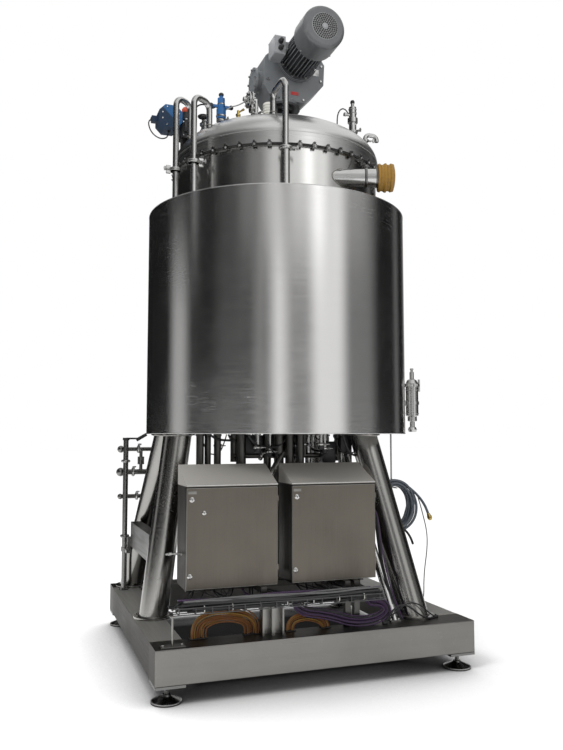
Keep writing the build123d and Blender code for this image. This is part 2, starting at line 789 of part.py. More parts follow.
# Sight glass: a tee with two glazed ends on a short neck
glass_share = (-0.346, -0.417)
glass_x, glass_y = lid_place(*glass_share)
glass_foot = lid_height(glass_x, glass_y)
glass_sink = 25.0
glass_neck_radius = 18.0
glass_neck_height = 115.0
glass_collar_radius = 30.0
glass_collar_height = 12.0
glass_lift = 118.0
glass_tee_radius = 16.0
glass_tee_length = 100.0
glass_tee_reach = 45.0
glass_rim_radius = 40.0
glass_rim_width = 22.0
glass_port_lift = 60.0
glass_port_reach = 35.0
glass_port_radius = 12.0
glass_port_length = 40.0
glass_port_rim = 18.0
glass_neck_length = glass_sink + glass_neck_height
glass_tee_z = glass_foot + glass_lift
glass_port_z = glass_foot + glass_port_lift
with BuildPart() as sight_glass:
    with Locations((glass_x, glass_y, glass_foot - glass_sink)):
        Cylinder(glass_neck_radius, glass_neck_length, align=(Align.CENTER, Align.CENTER, Align.MIN))
    with Locations((glass_x, glass_y, glass_foot + glass_collar_height)):
        Cylinder(glass_collar_radius, glass_collar_height)
    with Locations(Location((glass_x - glass_tee_reach, glass_y, glass_tee_z), (0, -90, 0))):
        Cylinder(glass_tee_radius, glass_tee_length)
        Cylinder(glass_rim_radius, glass_rim_width)
    with Locations(Location((glass_x - glass_port_length / 2, glass_y, glass_port_z), (0, -90, 0))):
        Cylinder(glass_port_radius, glass_port_length)
    with Locations(Location((glass_x - glass_port_reach, glass_y, glass_port_z), (0, -90, 0))):
        Cylinder(glass_collar_radius, glass_port_rim)
    add(lid_plug(glass_x, glass_y), mode=Mode.SUBTRACT)
save(sight_glass.part, "sight_glass")

# Ribbed breather beside the sight glass
breather_share = (-0.219, -0.417)
breather_x, breather_y = lid_place(*breather_share)
breather_foot = lid_height(breather_x, breather_y)
breather_sink = 12.0
breather_radius = 40.0
breather_height = 96.0
breather_rib_count = 4
breather_rib_radius = 44.0
breather_rib_height = 9.0
breather_rib_pitch = 20.0
breather_rib_lift = 22.0
breather_length = breather_sink + breather_height
with BuildPart() as breather:
    with Locations((breather_x, breather_y, breather_foot - breather_sink)):
        Cylinder(breather_radius, breather_length, align=(Align.CENTER, Align.CENTER, Align.MIN))
    for rib in range(breather_rib_count):
        rib_z = breather_foot + breather_rib_lift + breather_rib_pitch * rib
        with Locations((breather_x, breather_y, rib_z)):
            Cylinder(breather_rib_radius, breather_rib_height)
    add(lid_plug(breather_x, breather_y), mode=Mode.SUBTRACT)
save(breather.part, "ribbed_breather")

# Side nozzle and its ribbed cap, leaning to the front right
nozzle_radius = 61.0
nozzle_lean = -20.0
nozzle_place_angle = -59.84
nozzle_inset = 36.0
nozzle_overlap = 170.0
nozzle_lift = 154.0
nozzle_end_radius = jacket_radius - nozzle_inset
nozzle_length = nozzle_end_radius - shell_radius + nozzle_overlap
nozzle_end = (
    vessel_x + nozzle_end_radius * cos(radians(nozzle_place_angle)),
    vessel_y + nozzle_end_radius * sin(radians(nozzle_place_angle)),
    jacket_top_z + nozzle_lift,
)
nozzle_dir = Vector(cos(radians(nozzle_lean)), sin(radians(nozzle_lean)), 0)
nozzle_plane = Plane(origin=nozzle_end, z_dir=nozzle_dir)
with BuildPart() as shell_core:
    with Locations((vessel_x, vessel_y, nozzle_end[2])):
        Cylinder(shell_radius, 4 * nozzle_radius)
nozzle_tube = turned(
    [(0, 0), (nozzle_radius, 0), (nozzle_radius, -nozzle_length), (0, -nozzle_length)],
    nozzle_plane,
)
with BuildPart() as nozzle:
    add(nozzle_tube)
    add(shell_core.part, mode=Mode.SUBTRACT)
save(nozzle.part, "side_nozzle")
cap_radius = 96.0
cap_length = 112.0
cap_profile = [
    (0.0, 0.0),
    (0.96, 0.0),
    (1.0, 0.11),
    (0.92, 0.18),
    (0.92, 0.3),
    (1.0, 0.38),
    (1.0, 0.48),
    (0.92, 0.55),
    (0.92, 0.68),
    (1.0, 0.75),
    (0.96, 0.93),
    (0.66, 1.0),
    (0.0, 1.0),
]
cap_outline = [(cap_radius * out, cap_length * up) for out, up in cap_profile]
save(turned(cap_outline, nozzle_plane), "side_nozzle_cap")

# Relief valve and gooseneck vent on the lid's right shoulder
relief_share = (0.572, -0.573)
relief_x, relief_y = lid_place(*relief_share)
relief_foot = lid_height(relief_x, relief_y)
relief_radius = 37.0
relief_height = 232.0
relief_profile = [
    (0.0, -0.12),
    (0.73, -0.12),
    (0.73, 0.36),
    (1.0, 0.36),
    (1.0, 0.5),
    (0.73, 0.52),
    (0.73, 0.86),
    (0.32, 0.9),
    (0.32, 1.0),
    (0.0, 1.0),
]
relief_body = turned(
    [(relief_radius * out, relief_height * up) for out, up in relief_profile],
    upright(relief_x, relief_y, relief_foot),
)
with BuildPart() as relief:
    add(relief_body)
    add(lid_plug(relief_x, relief_y), mode=Mode.SUBTRACT)
save(relief.part, "relief_valve")
vent_share = (0.702, -0.573)
vent_x, vent_y = lid_place(*vent_share)
vent_foot = lid_height(vent_x, vent_y)
vent_radius = 16.0
vent_bend = 34.0
vent_rise = 58.0
vent_reach = 93.0
vent_mouth = 14.0
vent_sink = 20.0
vent_tube = tube(
    [
        (vent_x, vent_y, vent_foot - vent_sink),
        (vent_x, vent_y, vent_foot + vent_rise),
        (vent_x + vent_reach, vent_y, vent_foot + vent_rise),
        (vent_x + vent_reach, vent_y, vent_foot + vent_mouth),
    ],
    vent_radius,
    vent_bend,
)
with BuildPart() as gooseneck:
    add(vent_tube)
    add(lid_plug(vent_x, vent_y), mode=Mode.SUBTRACT)
save(gooseneck.part, "gooseneck_vent")

# Filter housing beside the jacket, with the bracket that holds it
filter_gap = 59.0
filter_bearing = -21.95
filter_radius = 46.0
filter_height = 442.0
filter_lift = 15.0
filter_profile = [
    (0.0, 0.0),
    (0.565, 0.0),
    (0.717, 0.038),
    (0.565, 0.077),
    (0.391, 0.086),
    (0.391, 0.167),
    (0.739, 0.181),
    (0.739, 0.253),
    (1.0, 0.271),
    (1.0, 0.742),
    (1.217, 0.751),
    (1.217, 0.801),
    (1.0, 0.81),
    (0.739, 0.864),
    (0.348, 0.887),
    (0.348, 1.0),
    (0.0, 1.0),
]
bracket_lift = 212.0
bracket_width = 30.0
bracket_height = 40.0
bracket_ring = 5.0
bracket_ring_height = 24.0
handle_size = 12.0
handle_height = 90.0
handle_share = 0.774
filter_reach = jacket_radius + filter_gap
filter_x = vessel_x + filter_reach * cos(radians(filter_bearing))
filter_y = vessel_y + filter_reach * sin(radians(filter_bearing))
filter_z = jacket_bottom_z + filter_lift
bracket_z = filter_z + bracket_lift
with BuildPart() as filter_housing:
    with Locations(Location((vessel_x, vessel_y, bracket_z), (0, 0, filter_bearing))):
        with Locations((jacket_radius + filter_gap / 2, 0, 0)):
            Box(filter_gap + bracket_width, bracket_width, bracket_height)
    with Locations((filter_x, filter_y, bracket_z)):
        Cylinder(filter_radius + bracket_ring, bracket_ring_height)
    with Locations((vessel_x, vessel_y, bracket_z)):
        Cylinder(jacket_radius, 3 * bracket_height, mode=Mode.SUBTRACT)
    add(
        turned(
            [(filter_radius * out, filter_height * up) for out, up in filter_profile],
            upright(filter_x, filter_y, filter_z),
        )
    )
    with Locations(
        (
            filter_x + filter_radius,
            filter_y - 2 * handle_size,
            filter_z + filter_height * handle_share,
        )
    ):
        Box(handle_size, handle_size, handle_height)
save(filter_housing.part, "filter_housing")

# Cabinets
door_top_z = cabinet_bottom_z + cabinet_door_height
housing_front_y = cabinet_front_y + door_thickness
housing_back_y = housing_front_y + cabinet_depth
roof_front_z = door_top_z + cabinet_roof_lip
roof_back_z = roof_front_z + (cabinet_depth + door_thickness) * tan(radians(cabinet_roof_slope))
door_body = door_thickness - door_gap
for side, middle_x in (("left", cabinet_left_x), ("right", cabinet_right_x)):
    left_x = middle_x - cabinet_width / 2
    right_x = middle_x + cabinet_width / 2
    pivot_x = right_x + hinge_radius + hinge_clearance
    pivot_y = housing_front_y - door_gap / 2
    hinge_low = cabinet_bottom_z + hinge_inset
    hinge_high = door_top_z - hinge_inset
    with BuildPart() as housing:
        with BuildSketch(Plane.YZ.offset(left_x)):
            Polygon(
                (housing_front_y, cabinet_bottom_z),
                (housing_back_y, cabinet_bottom_z),
                (housing_back_y, roof_back_z),
                (cabinet_front_y - roof_edge_proud, roof_front_z),
                (cabinet_front_y - roof_edge_proud, door_top_z + door_gap),
                (housing_front_y, door_top_z + door_gap),
                align=None,
            )
        extrude(amount=cabinet_width)
        with BuildSketch(Plane.YZ.offset(left_x + cabinet_wall)):
            Polygon(
                (housing_front_y - mouth_overrun, cabinet_bottom_z + cabinet_wall),
                (housing_back_y - cabinet_wall, cabinet_bottom_z + cabinet_wall),
                (housing_back_y - cabinet_wall, roof_back_z - roof_wall_drop),
                (housing_front_y + mouth_slope, roof_front_z),
                (housing_front_y - mouth_overrun, roof_front_z - cabinet_roof_lip),
                align=None,
            )
        extrude(amount=cabinet_width - 2 * cabinet_wall, mode=Mode.SUBTRACT)
        for hinge_z in (hinge_low, hinge_high):
            with Locations((pivot_x, pivot_y, hinge_z)):
                Cylinder(hinge_radius, hinge_height / 2, align=(Align.CENTER, Align.CENTER, Align.MAX))
                Cylinder(hinge_radius / 2, hinge_height, align=(Align.CENTER, Align.CENTER, Align.CENTER))
            leaf_x = right_x + housing_leaf_width / 2
            leaf_y = housing_front_y + housing_leaf_depth / 2
            with Locations((leaf_x, leaf_y, hinge_z - hinge_height / 4)):
                Box(housing_leaf_width, housing_leaf_depth, hinge_height / 2)
    save(housing.part, f"cabinet_{side}_housing")
    with BuildPart() as door:
        door_middle_y = cabinet_front_y + door_body / 2
        door_middle_z = (cabinet_bottom_z + door_top_z) / 2
        with Locations((middle_x, door_middle_y, door_middle_z)):
            Box(cabinet_width - door_margin, door_body, cabinet_door_height - door_margin)
            with Locations((0, door_wall, 0)):
                Box(
                    cabinet_width - door_margin - door_fold,
                    door_body,
                    cabinet_door_height - door_margin - door_fold,
                    mode=Mode.SUBTRACT,
                )
        for hinge_z in (hinge_low, hinge_high):
            knuckle_z = hinge_z + hinge_running_gap
            with Locations((pivot_x, pivot_y, knuckle_z)):
                Cylinder(hinge_radius, hinge_height / 2, align=(Align.CENTER, Align.CENTER, Align.MIN))
            leaf_x = right_x + door_leaf_out
            leaf_y = cabinet_front_y + door_leaf_back
            with Locations((leaf_x, leaf_y, knuckle_z + hinge_height / 4)):
                Box(door_leaf_width, door_leaf_depth, hinge_height / 2)
            with Locations((pivot_x, pivot_y, hinge_z)):
                Cylinder(hinge_radius / 2 + hinge_pin_gap, 3 * hinge_height, mode=Mode.SUBTRACT)
        for lock_x, lock_z in (
            (left_x + upper_lock_inset, door_top_z - upper_lock_drop),
            (left_x + lower_lock_inset, cabinet_bottom_z + lower_lock_lift),
        ):
            with Locations(Location((lock_x, cabinet_front_y, lock_z), (90, 0, 0))):
                Cylinder(lock_radius, lock_height, align=(Align.CENTER, Align.CENTER, Align.MIN))
    save(door.part, f"cabinet_{side}_door")

# Stand of the cabinets: posts on the front beam, arms and a rail under the housings
post_size = 36.0
post_setback = 174.0
post_y = post_setback - half_depth
rail_z = cabinet_bottom_z - post_size / 2
rail_inset = 30.0
rail_length = cabinet_right_x - cabinet_left_x + cabinet_width - 2 * rail_inset
rail_setback = 120.0
rail_x = (cabinet_left_x + cabinet_right_x) / 2
left_post_inset = 184.0
left_post_x = cabinet_left_x + left_post_inset
middle_post_inset = 67.0
middle_post_x = cabinet_right_x + middle_post_inset
post_pitch = 62.0
with BuildPart() as stand:
    for post_x in (left_post_x, middle_post_x, middle_post_x + post_pitch):
        with Locations((post_x, post_y, (deck_z + cabinet_bottom_z) / 2)):
            Box(post_size, post_size, cabinet_bottom_z - deck_z)
        with Locations((post_x, (post_y + housing_back_y) / 2, rail_z)):
            Box(post_size, housing_back_y - post_y, post_size)
    with Locations((rail_x, housing_front_y + rail_setback, rail_z)):
        Box(rail_length, post_size, post_size)
save(stand.part, "cabinet_stand")

# Wire cable tray in front of the posts, on an upright channel and a thin rod
tray_left_inset = 96.0
tray_left_x = tray_left_inset - half_length
tray_overrun = 4.0
tray_right_x = cabinet_right_edge - tray_overrun
tray_front_setback = 52.0
tray_front_y = tray_front_setback - half_depth
tray_width = 94.0
tray_back_y = tray_front_y + tray_width
tray_lift = 170.0
tray_z = deck_z + tray_lift
tray_side = 36.0
tray_wire = 5.0
tray_pitch = 98.0
tray_length = tray_right_x - tray_left_x
tray_middle_x = (tray_left_x + tray_right_x) / 2
tray_middle_y = (tray_front_y + tray_back_y) / 2
with BuildPart() as tray:
    for wire_y, wire_z in (
        (tray_front_y, tray_z + tray_side),
        (tray_front_y, tray_z),
        (tray_middle_y, tray_z),
        (tray_back_y, tray_z),
        (tray_back_y, tray_z + tray_side),
    ):
        with Locations((tray_middle_x, wire_y, wire_z)):
            Box(tray_length, tray_wire, tray_wire)
    hoop_count = int(tray_length / tray_pitch) + 1
    with Locations((tray_middle_x, tray_middle_y, tray_z)):
        with GridLocations(tray_pitch, 1, hoop_count, 1):
            Box(tray_wire, tray_back_y - tray_front_y, tray_wire)
    for wire_y in (tray_front_y, tray_back_y):
        with Locations((tray_middle_x, wire_y, tray_z + tray_side / 2)):
            with GridLocations(tray_pitch, 1, hoop_count, 1):
                Box(tray_wire, tray_wire, tray_side)
save(tray.part, "cable_tray")
channel_width = 136.0
channel_depth = 56.0
channel_wall = 10.0
channel_offset = 37.0
channel_x = left_post_x + channel_offset
channel_y = tray_back_y - channel_depth / 2
channel_top = tray_z - tray_wire / 2
rod_radius = 6.0
rod_inset = 13.0
rod_setback = 12.0
rod_x = tray_left_x + rod_inset
rod_y = tray_front_y + rod_setback
rod_plate_length = 140.0
rod_plate_width = 64.0
rod_plate_thickness = 6.0
rod_head_size = 30.0
rod_plate_top = deck_z + rod_plate_thickness
with BuildPart() as tray_posts:
    with BuildSketch(Plane.XY.offset(deck_z)):
        with Locations((channel_x, channel_y)):
            Rectangle(channel_width, channel_depth)
        with Locations((channel_x, channel_y - channel_wall)):
            Rectangle(channel_width - 2 * channel_wall, channel_depth, mode=Mode.SUBTRACT)
        with Locations((channel_x, channel_y)):
            Rectangle(channel_wall * 2, channel_depth)
    extrude(amount=channel_top - deck_z)
    with Locations((rod_x, rod_y, deck_z + rod_plate_thickness / 2)):
        Box(rod_plate_length, rod_plate_width, rod_plate_thickness)
    with Locations((rod_x, rod_y, rod_plate_top)):
        Cylinder(rod_radius, channel_top - rod_plate_top, align=(Align.CENTER, Align.CENTER, Align.MIN))
    with Locations((rod_x, rod_y, channel_top - rod_plate_thickness / 2)):
        Box(rod_head_size, rod_head_size, rod_plate_thickness)
save(tray_posts.part, "tray_posts")

# Manifold at the rear left: a post, level pipes with ball ends and a lever valve
manifold_inset = 69.0
manifold_x = manifold_inset - half_length
manifold_back_inset = 277.0
manifold_y = half_depth - manifold_back_inset
manifold_height = 1153.0
manifold_top_z = deck_z + manifold_height
manifold_radius = 20.0
manifold_base_radius = 35.0
manifold_base_height = 8.0
lower_pipe_lift = 903.0
upper_pipe_lift = 1082.0
rung_lift = 712.0
lower_pipe_reach = 273.0
upper_pipe_reach = 206.0
rung_reach = 244.0
ball_reach = 33.0
stub_reach = 125.0
drop_pipe_reach = 220.0
collar_lift = 310.0
lower_pipe_z = deck_z + lower_pipe_lift
upper_pipe_z = deck_z + upper_pipe_lift
rung_z = deck_z + rung_lift
ball_end_x = manifold_x - ball_reach
valve_stub_x = manifold_x + stub_reach
drop_pipe_x = manifold_x + drop_pipe_reach
collar_z = deck_z + collar_lift
collar_width = 7.0
collar_height = 30.0
strut_width = 14.0
strut_height = 24.0
strut_length = 150.0
strut_plate_length = 20.0
strut_plate_height = 124.0
strut_plate_reach = 140.0
strut_plate_lift = 50.0
with BuildPart() as manifold_post:
    with Locations((manifold_x, manifold_y, deck_z)):
        Cylinder(manifold_base_radius, manifold_base_height, align=(Align.CENTER, Align.CENTER, Align.MIN))
        Cylinder(manifold_radius, manifold_height, align=(Align.CENTER, Align.CENTER, Align.MIN))
    with Locations((manifold_x, manifold_y, collar_z)):
        Cylinder(manifold_radius + collar_width, collar_height)
    with Locations((manifold_x, manifold_y - strut_length / 2, collar_z)):
        Box(strut_width, strut_length, strut_height)
    with Locations(
        (
            (manifold_x + cross_beam_outer_x) / 2,
            manifold_y - strut_plate_reach,
            collar_z + strut_plate_lift,
        )
    ):
        Box(cross_beam_outer_x - manifold_x, strut_plate_length, strut_plate_height)
save(manifold_post.part, "manifold_post")
pipe_gap = 22.0
pipe_y = manifold_y + manifold_radius + pipe_gap
lower_pipe_radius = 21.0
upper_pipe_radius = 16.0
rung_radius = 17.0
lower_ball_radius = 34.0
upper_ball_radius = 28.0
rung_ball_radius = 22.0
stub_radius = 13.0
stub_valve_radius = 26.0
stub_valve_height = 60.0
drop_pipe_radius = 15.0
with BuildPart() as manifold_pipes:
    for pipe_z, pipe_reach, pipe_radius, ball_radius in (
        (lower_pipe_z, lower_pipe_reach, lower_pipe_radius, lower_ball_radius),
        (upper_pipe_z, upper_pipe_reach, upper_pipe_radius, upper_ball_radius),
        (rung_z, rung_reach, rung_radius, rung_ball_radius),
    ):
        pipe_length = manifold_x + pipe_reach - ball_end_x
        with Locations(Location((ball_end_x, pipe_y, pipe_z), (0, 90, 0))):
            Cylinder(pipe_radius, pipe_length, align=(Align.CENTER, Align.CENTER, Align.MIN))
        with Locations((ball_end_x, pipe_y, pipe_z)):
            Sphere(ball_radius)
    with Locations((valve_stub_x, pipe_y, lower_pipe_z)):
        Cylinder(stub_radius, upper_pipe_z - lower_pipe_z, align=(Align.CENTER, Align.CENTER, Align.MIN))
    with Locations((valve_stub_x, pipe_y, (lower_pipe_z + upper_pipe_z) / 2)):
        Cylinder(stub_valve_radius, stub_valve_height)
    with Locations((drop_pipe_x, pipe_y, rung_z)):
        Cylinder(drop_pipe_radius, lower_pipe_z - rung_z, align=(Align.CENTER, Align.CENTER, Align.MIN))
save(manifold_pipes.part, "manifold_pipes")
lever_body_radius = 26.0
lever_body_height = 20.0
lever_rod_radius = 7.0
lever_rod_length = 90.0
lever_grip_radius = 13.0
lever_grip_length = 90.0
lever_grip_reach = 120.0
lever_grip_tilt = 60.0
lever_rod_x = manifold_x + lever_rod_length / 2
lever_rod_lift = 14.0
lever_rod_z = manifold_top_z + lever_rod_lift
lever_grip_x = manifold_x + lever_grip_reach
lever_grip_lift = 24.0
lever_grip_z = manifold_top_z + lever_grip_lift
with BuildPart() as manifold_valve:
    with Locations((manifold_x, manifold_y, manifold_top_z)):
        Cylinder(lever_body_radius, lever_body_height, align=(Align.CENTER, Align.CENTER, Align.MIN))
    with Locations(Location((lever_rod_x, manifold_y, lever_rod_z), (0, 90, 0))):
        Cylinder(lever_rod_radius, lever_rod_length)
    with Locations(Location((lever_grip_x, manifold_y, lever_grip_z), (0, lever_grip_tilt, 0))):
        Cylinder(lever_grip_radius, lever_grip_length)
save(manifold_valve.part, "manifold_valve")

# Outlet valve below the vessel and the small pipes round it
outlet_drop = 60.0
outlet_z = jacket_bottom_z - outlet_drop
outlet_lap = 4.0
outlet_flange_radius = 58.0
outlet_flange_height = 24.0
outlet_body_radius = 62.0
outlet_body_z = outlet_z - outlet_body_radius
outlet_port_radius = 26.0
outlet_port_length = 260.0
outlet_drive_radius = 40.0
outlet_drive_length = 180.0
with BuildPart() as outlet_valve:
    with Locations((vessel_x, vessel_y, outlet_z)):
        Cylinder(
            outlet_neck_radius,
            bottom_head_z - bottom_head_depth - outlet_z + outlet_lap,
            align=(Align.CENTER, Align.CENTER, Align.MIN),
        )
        Cylinder(outlet_flange_radius, outlet_flange_height)
    with Locations((vessel_x, vessel_y, outlet_body_z)):
        Sphere(outlet_body_radius)
    with Locations(Location((vessel_x, vessel_y, outlet_body_z), (90, 0, 0))):
        Cylinder(outlet_port_radius, outlet_port_length, align=(Align.CENTER, Align.CENTER, Align.MIN))
    with Locations(Location((vessel_x, vessel_y, outlet_body_z), (0, -90, 0))):
        Cylinder(outlet_drive_radius, outlet_drive_length, align=(Align.CENTER, Align.CENTER, Align.MIN))
    add(bottom_head.part, mode=Mode.SUBTRACT)
save(outlet_valve.part, "bottom_outlet_valve")
small_drop = 150.0
large_drop = 190.0
header_radius = 17.0
header_offset = 36.0
header_setback = 350.0
header_middle_x = vessel_x - header_offset
header_y = vessel_y - header_setback
header_length = 780.0
collar_drop = 18.0
collar_lip = 10.0
drop_collar_height = 14.0
bottom_drops = [
    (60.0, 0.0, small_drop, header_radius),
    (125.0, 0.0, small_drop, header_radius),
    (382.0, 5.0, large_drop, 22.0),
    (-379.0, 30.0, large_drop, 26.0),
]
with BuildPart() as bottom_pipes:
    for across, back, drop, pipe_radius in bottom_drops:
        pipe_x = header_middle_x + across
        drop_y = header_y + back
        with Locations((pipe_x, drop_y, jacket_bottom_z - drop)):
            Cylinder(pipe_radius, drop, align=(Align.CENTER, Align.CENTER, Align.MIN))
        with Locations((pipe_x, drop_y, jacket_bottom_z - collar_drop)):
            Cylinder(pipe_radius + collar_lip, drop_collar_height)
    with Locations(Location((header_middle_x, header_y, jacket_bottom_z - small_drop), (0, 90, 0))):
        Cylinder(header_radius, header_length)
save(bottom_pipes.part, "bottom_pipework")

# Inclined drain pipe from a flange on the deck up to the jacket's bottom
drain_foot_x = 549.0
drain_foot_setback = 2.0
drain_foot_y = post_y - drain_foot_setback
drain_head_x = 452.0
drain_head_y = -200.0
drain_foot = Vector(drain_foot_x, drain_foot_y, deck_z)
drain_head = Vector(drain_head_x, drain_head_y, jacket_bottom_z)
drain_radius = 25.0
drain_sleeve = 8.0
drain_sleeve_length = 34.0
drain_plate_length = 70.0
drain_plate_width = 44.0
drain_plate_thickness = 8.0
drain_overrun_share = 0.05
drain_sleeve_share = 0.045
drain_slant = drain_head - drain_foot
with BuildPart() as drain:
    with BuildSketch(Plane(origin=drain_foot - drain_slant * drain_overrun_share, z_dir=drain_slant)):
        Circle(drain_radius)
    extrude(amount=drain_slant.length * (1 + 2 * drain_overrun_share))
    with BuildSketch(Plane(origin=drain_foot + drain_slant * drain_sleeve_share, z_dir=drain_slant)):
        Circle(drain_radius + drain_sleeve)
    extrude(amount=drain_sleeve_length)
    split(bisect_by=Plane.XY.offset(deck_z + drain_plate_thickness), keep=Keep.TOP)
    split(bisect_by=Plane.XY.offset(jacket_bottom_z), keep=Keep.BOTTOM)
    with Locations((drain_foot_x, drain_foot_y, deck_z + drain_plate_thickness / 2)):
        Box(drain_plate_length, drain_plate_width, drain_plate_thickness)
save(drain.part, "inclined_drain_pipe")

# Hook and the coiled hose behind the front right leg, with its tail and brass end
coil_x = 829.0
coil_y = -330.0
coil_drop = 522.0
coil_z = jacket_bottom_z - coil_drop
coil_radius = 165.0
coil_bundle = 28.0
hook_radius = 6.0
hook_gap = 0.3
hook_setback = 14.0
hook_reach = 84.0
hook_z = coil_z + coil_radius - coil_bundle - hook_radius - hook_gap
hook_y = coil_y + coil_bundle + hook_setback
with BuildPart() as hook:
    with Locations((coil_x, hook_y, hook_z)):
        Cylinder(hook_radius, jacket_bottom_z - hook_z, align=(Align.CENTER, Align.CENTER, Align.MIN))
        Sphere(hook_radius)
    with Locations(Location((coil_x, hook_y, hook_z), (90, 0, 0))):
        Cylinder(hook_radius, hook_reach, align=(Align.CENTER, Align.CENTER, Align.MIN))
save(hook.part, "hose_hook")
tail_radius = 11.0
tail_bend = 44.0
tail_route = [
    (coil_x + 120.0, coil_y, coil_z + 119.0),
    (coil_x + 180.0, coil_y - 48.0, coil_z + 62.0),
    (coil_x + 188.0, coil_y - 120.0, coil_z + 5.0),
    (coil_x + 182.0, coil_y - 172.0, coil_z - 52.0),
]
with BuildPart() as hose_coil:
    with BuildSketch(Plane(origin=(coil_x + coil_radius, coil_y, coil_z), x_dir=(1, 0, 0), z_dir=(0, 0, 1))):
        Circle(coil_bundle)
    revolve(axis=Axis((coil_x, coil_y, coil_z), (0, 1, 0)))
    add(tube(tail_route, tail_radius, tail_bend))
save(hose_coil.part, "hose_coil")
tail_end = Vector(*tail_route[-1])
tail_dir = (tail_end - Vector(*tail_route[-2])).normalized()
connector_profile = [(0, 0), (13, 0), (13, 16), (17, 16), (17, 34), (12, 34), (12, 44), (0, 44)]
save(turned(connector_profile, Plane(origin=tail_end, z_dir=tail_dir)), "hose_connector")

# Cable coil standing as a flat arch behind the tray
arch_gap = 249.0
arch_x = left_post_x - arch_gap
arch_y = post_y
arch_half_width = 176.0
arch_height = 128.0
arch_bundle = 18.0
with BuildPart() as arch_coil:
    with BuildLine(Plane(origin=(arch_x, arch_y, deck_z), x_dir=(1, 0, 0), z_dir=(0, -1, 0))) as arch_route:
        EllipticalCenterArc((0, 0), arch_half_width, arch_height, start_angle=0, arc_size=180)
    with BuildSketch(Plane(origin=arch_route.line @ 0, z_dir=arch_route.line % 0)):
        Circle(arch_bundle)
    sweep()
save(arch_coil.part, "orange_cable_coil")

# Cable loop that hangs from the tray to the deck in front of the posts
loop_clearance = 0.5
loop_y = (tray_front_y + 3 * tray_back_y) / 4 + loop_clearance
loop_bundle = 16.0
loop_bend = 48.0
loop_route = [
    (-155.0, loop_y, tray_z + 25.0),
    (-150.0, loop_y, tray_z - 45.0),
    (60.0, loop_y, deck_z + 92.0),
    (225.0, loop_y, deck_z + loop_bundle),
    (390.0, loop_y, deck_z + loop_bundle),
    (476.0, loop_y, deck_z + 82.0),
    (425.0, loop_y, tray_z - 30.0),
    (335.0, loop_y, tray_z - 30.0),
    (335.0, loop_y, tray_z + 25.0),
]
save(tube(loop_route, loop_bundle, loop_bend), "violet_cable_loop")
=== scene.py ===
"""Dresses the jacketed process vessel: camera, cords, finishes, fittings, wiring and studio.

Metres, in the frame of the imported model. The origin is on the floor below the middle of the
skid, +X runs along the cabinet fronts, +Y to the back and +Z up.
"""
import logging
from dataclasses import dataclass, field
from enum import Enum

import bpy
import numpy as np
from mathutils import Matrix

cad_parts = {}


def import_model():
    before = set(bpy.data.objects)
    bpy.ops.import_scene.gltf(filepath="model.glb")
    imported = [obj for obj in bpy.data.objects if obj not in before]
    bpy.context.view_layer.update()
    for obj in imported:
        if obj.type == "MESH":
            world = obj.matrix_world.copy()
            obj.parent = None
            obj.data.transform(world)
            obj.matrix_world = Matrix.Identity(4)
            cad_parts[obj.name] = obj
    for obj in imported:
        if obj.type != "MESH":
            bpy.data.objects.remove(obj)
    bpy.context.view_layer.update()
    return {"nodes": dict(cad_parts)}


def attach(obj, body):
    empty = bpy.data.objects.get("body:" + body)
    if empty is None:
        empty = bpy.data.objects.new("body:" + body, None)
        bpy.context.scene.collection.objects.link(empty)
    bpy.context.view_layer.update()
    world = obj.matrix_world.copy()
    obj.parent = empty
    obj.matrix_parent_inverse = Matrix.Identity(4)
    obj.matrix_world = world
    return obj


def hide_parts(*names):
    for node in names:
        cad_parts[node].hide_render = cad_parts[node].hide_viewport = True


Array = np.ndarray
Point = tuple[float, float, float]
Colour = tuple[float, float, float]

log = logging.getLogger("vessel")

PLANT = "plant"
DECK = 0.310
AXIS = (0.036, 0.020)
ORIGIN = (0.0, 0.0, 0.0)
UP = (0.0, 0.0, 1.0)
DOWN = (0.0, 0.0, -1.0)
LEFT = (-1.0, 0.0, 0.0)
RIGHT = (1.0, 0.0, 0.0)
FRONT = (0.0, -1.0, 0.0)
BACK = (0.0, 1.0, 0.0)
JACKET_BOTTOM = 1.513
JACKET_TOP = 3.103
JACKET_RADIUS = 0.950
SHELL_RADIUS = 0.754
LID_RADIUS = 0.768
LID_SPRING = 3.522
LID_RISE = 0.300
CABINET_MIDDLES = (-0.529, 0.146)
GLAND_ROWS = (-0.700, -0.655)
GLAND_STEPS = np.linspace(-0.22, 0.22, 8)
MODULE_SEEDS = {"left": 5, "right": 6}


# Surfaces
def linked(name: str, data: bpy.types.ID) -> bpy.types.Object:
    """A new object that holds the data, linked to the scene."""
    made = bpy.data.objects.new(name, data)
    bpy.context.scene.collection.objects.link(made)
    return made


def unit(vector: Array) -> Array:
    """Vectors divided by their lengths, along the last axis."""
    return vector / np.maximum(np.linalg.norm(vector, axis=-1, keepdims=True), 1e-12)


def square_frame(axis: Point) -> tuple[Array, Array, Array]:
    """Two level directions square to an axis, and the axis itself.

    Args:
        axis: direction of the axis.

    Returns:
        Side, front and axis as unit vectors, where side = helper x axis and front = axis x side.
    """
    along = unit(np.array(axis, float))
    helper = np.array([0.0, 1.0, 0.0]) if abs(along[1]) < 0.9 else np.array([0.0, 0.0, 1.0])
    side = unit(np.cross(helper, along))
    return side, np.cross(along, side), along


def even_angles(count: int, start: float = 0.0) -> Array:
    """Angles a_k = 2 pi k / count + start round a full turn."""
    return np.arange(count) * 2 * np.pi / count + start


def circle(radius: float, sides: int = 12, start: float = 0.0) -> Array:
    """Points (r cos a, r sin a) of a circle at even angles a."""
    angle = even_angles(sides, start)
    return radius * np.column_stack([np.cos(angle), np.sin(angle)])


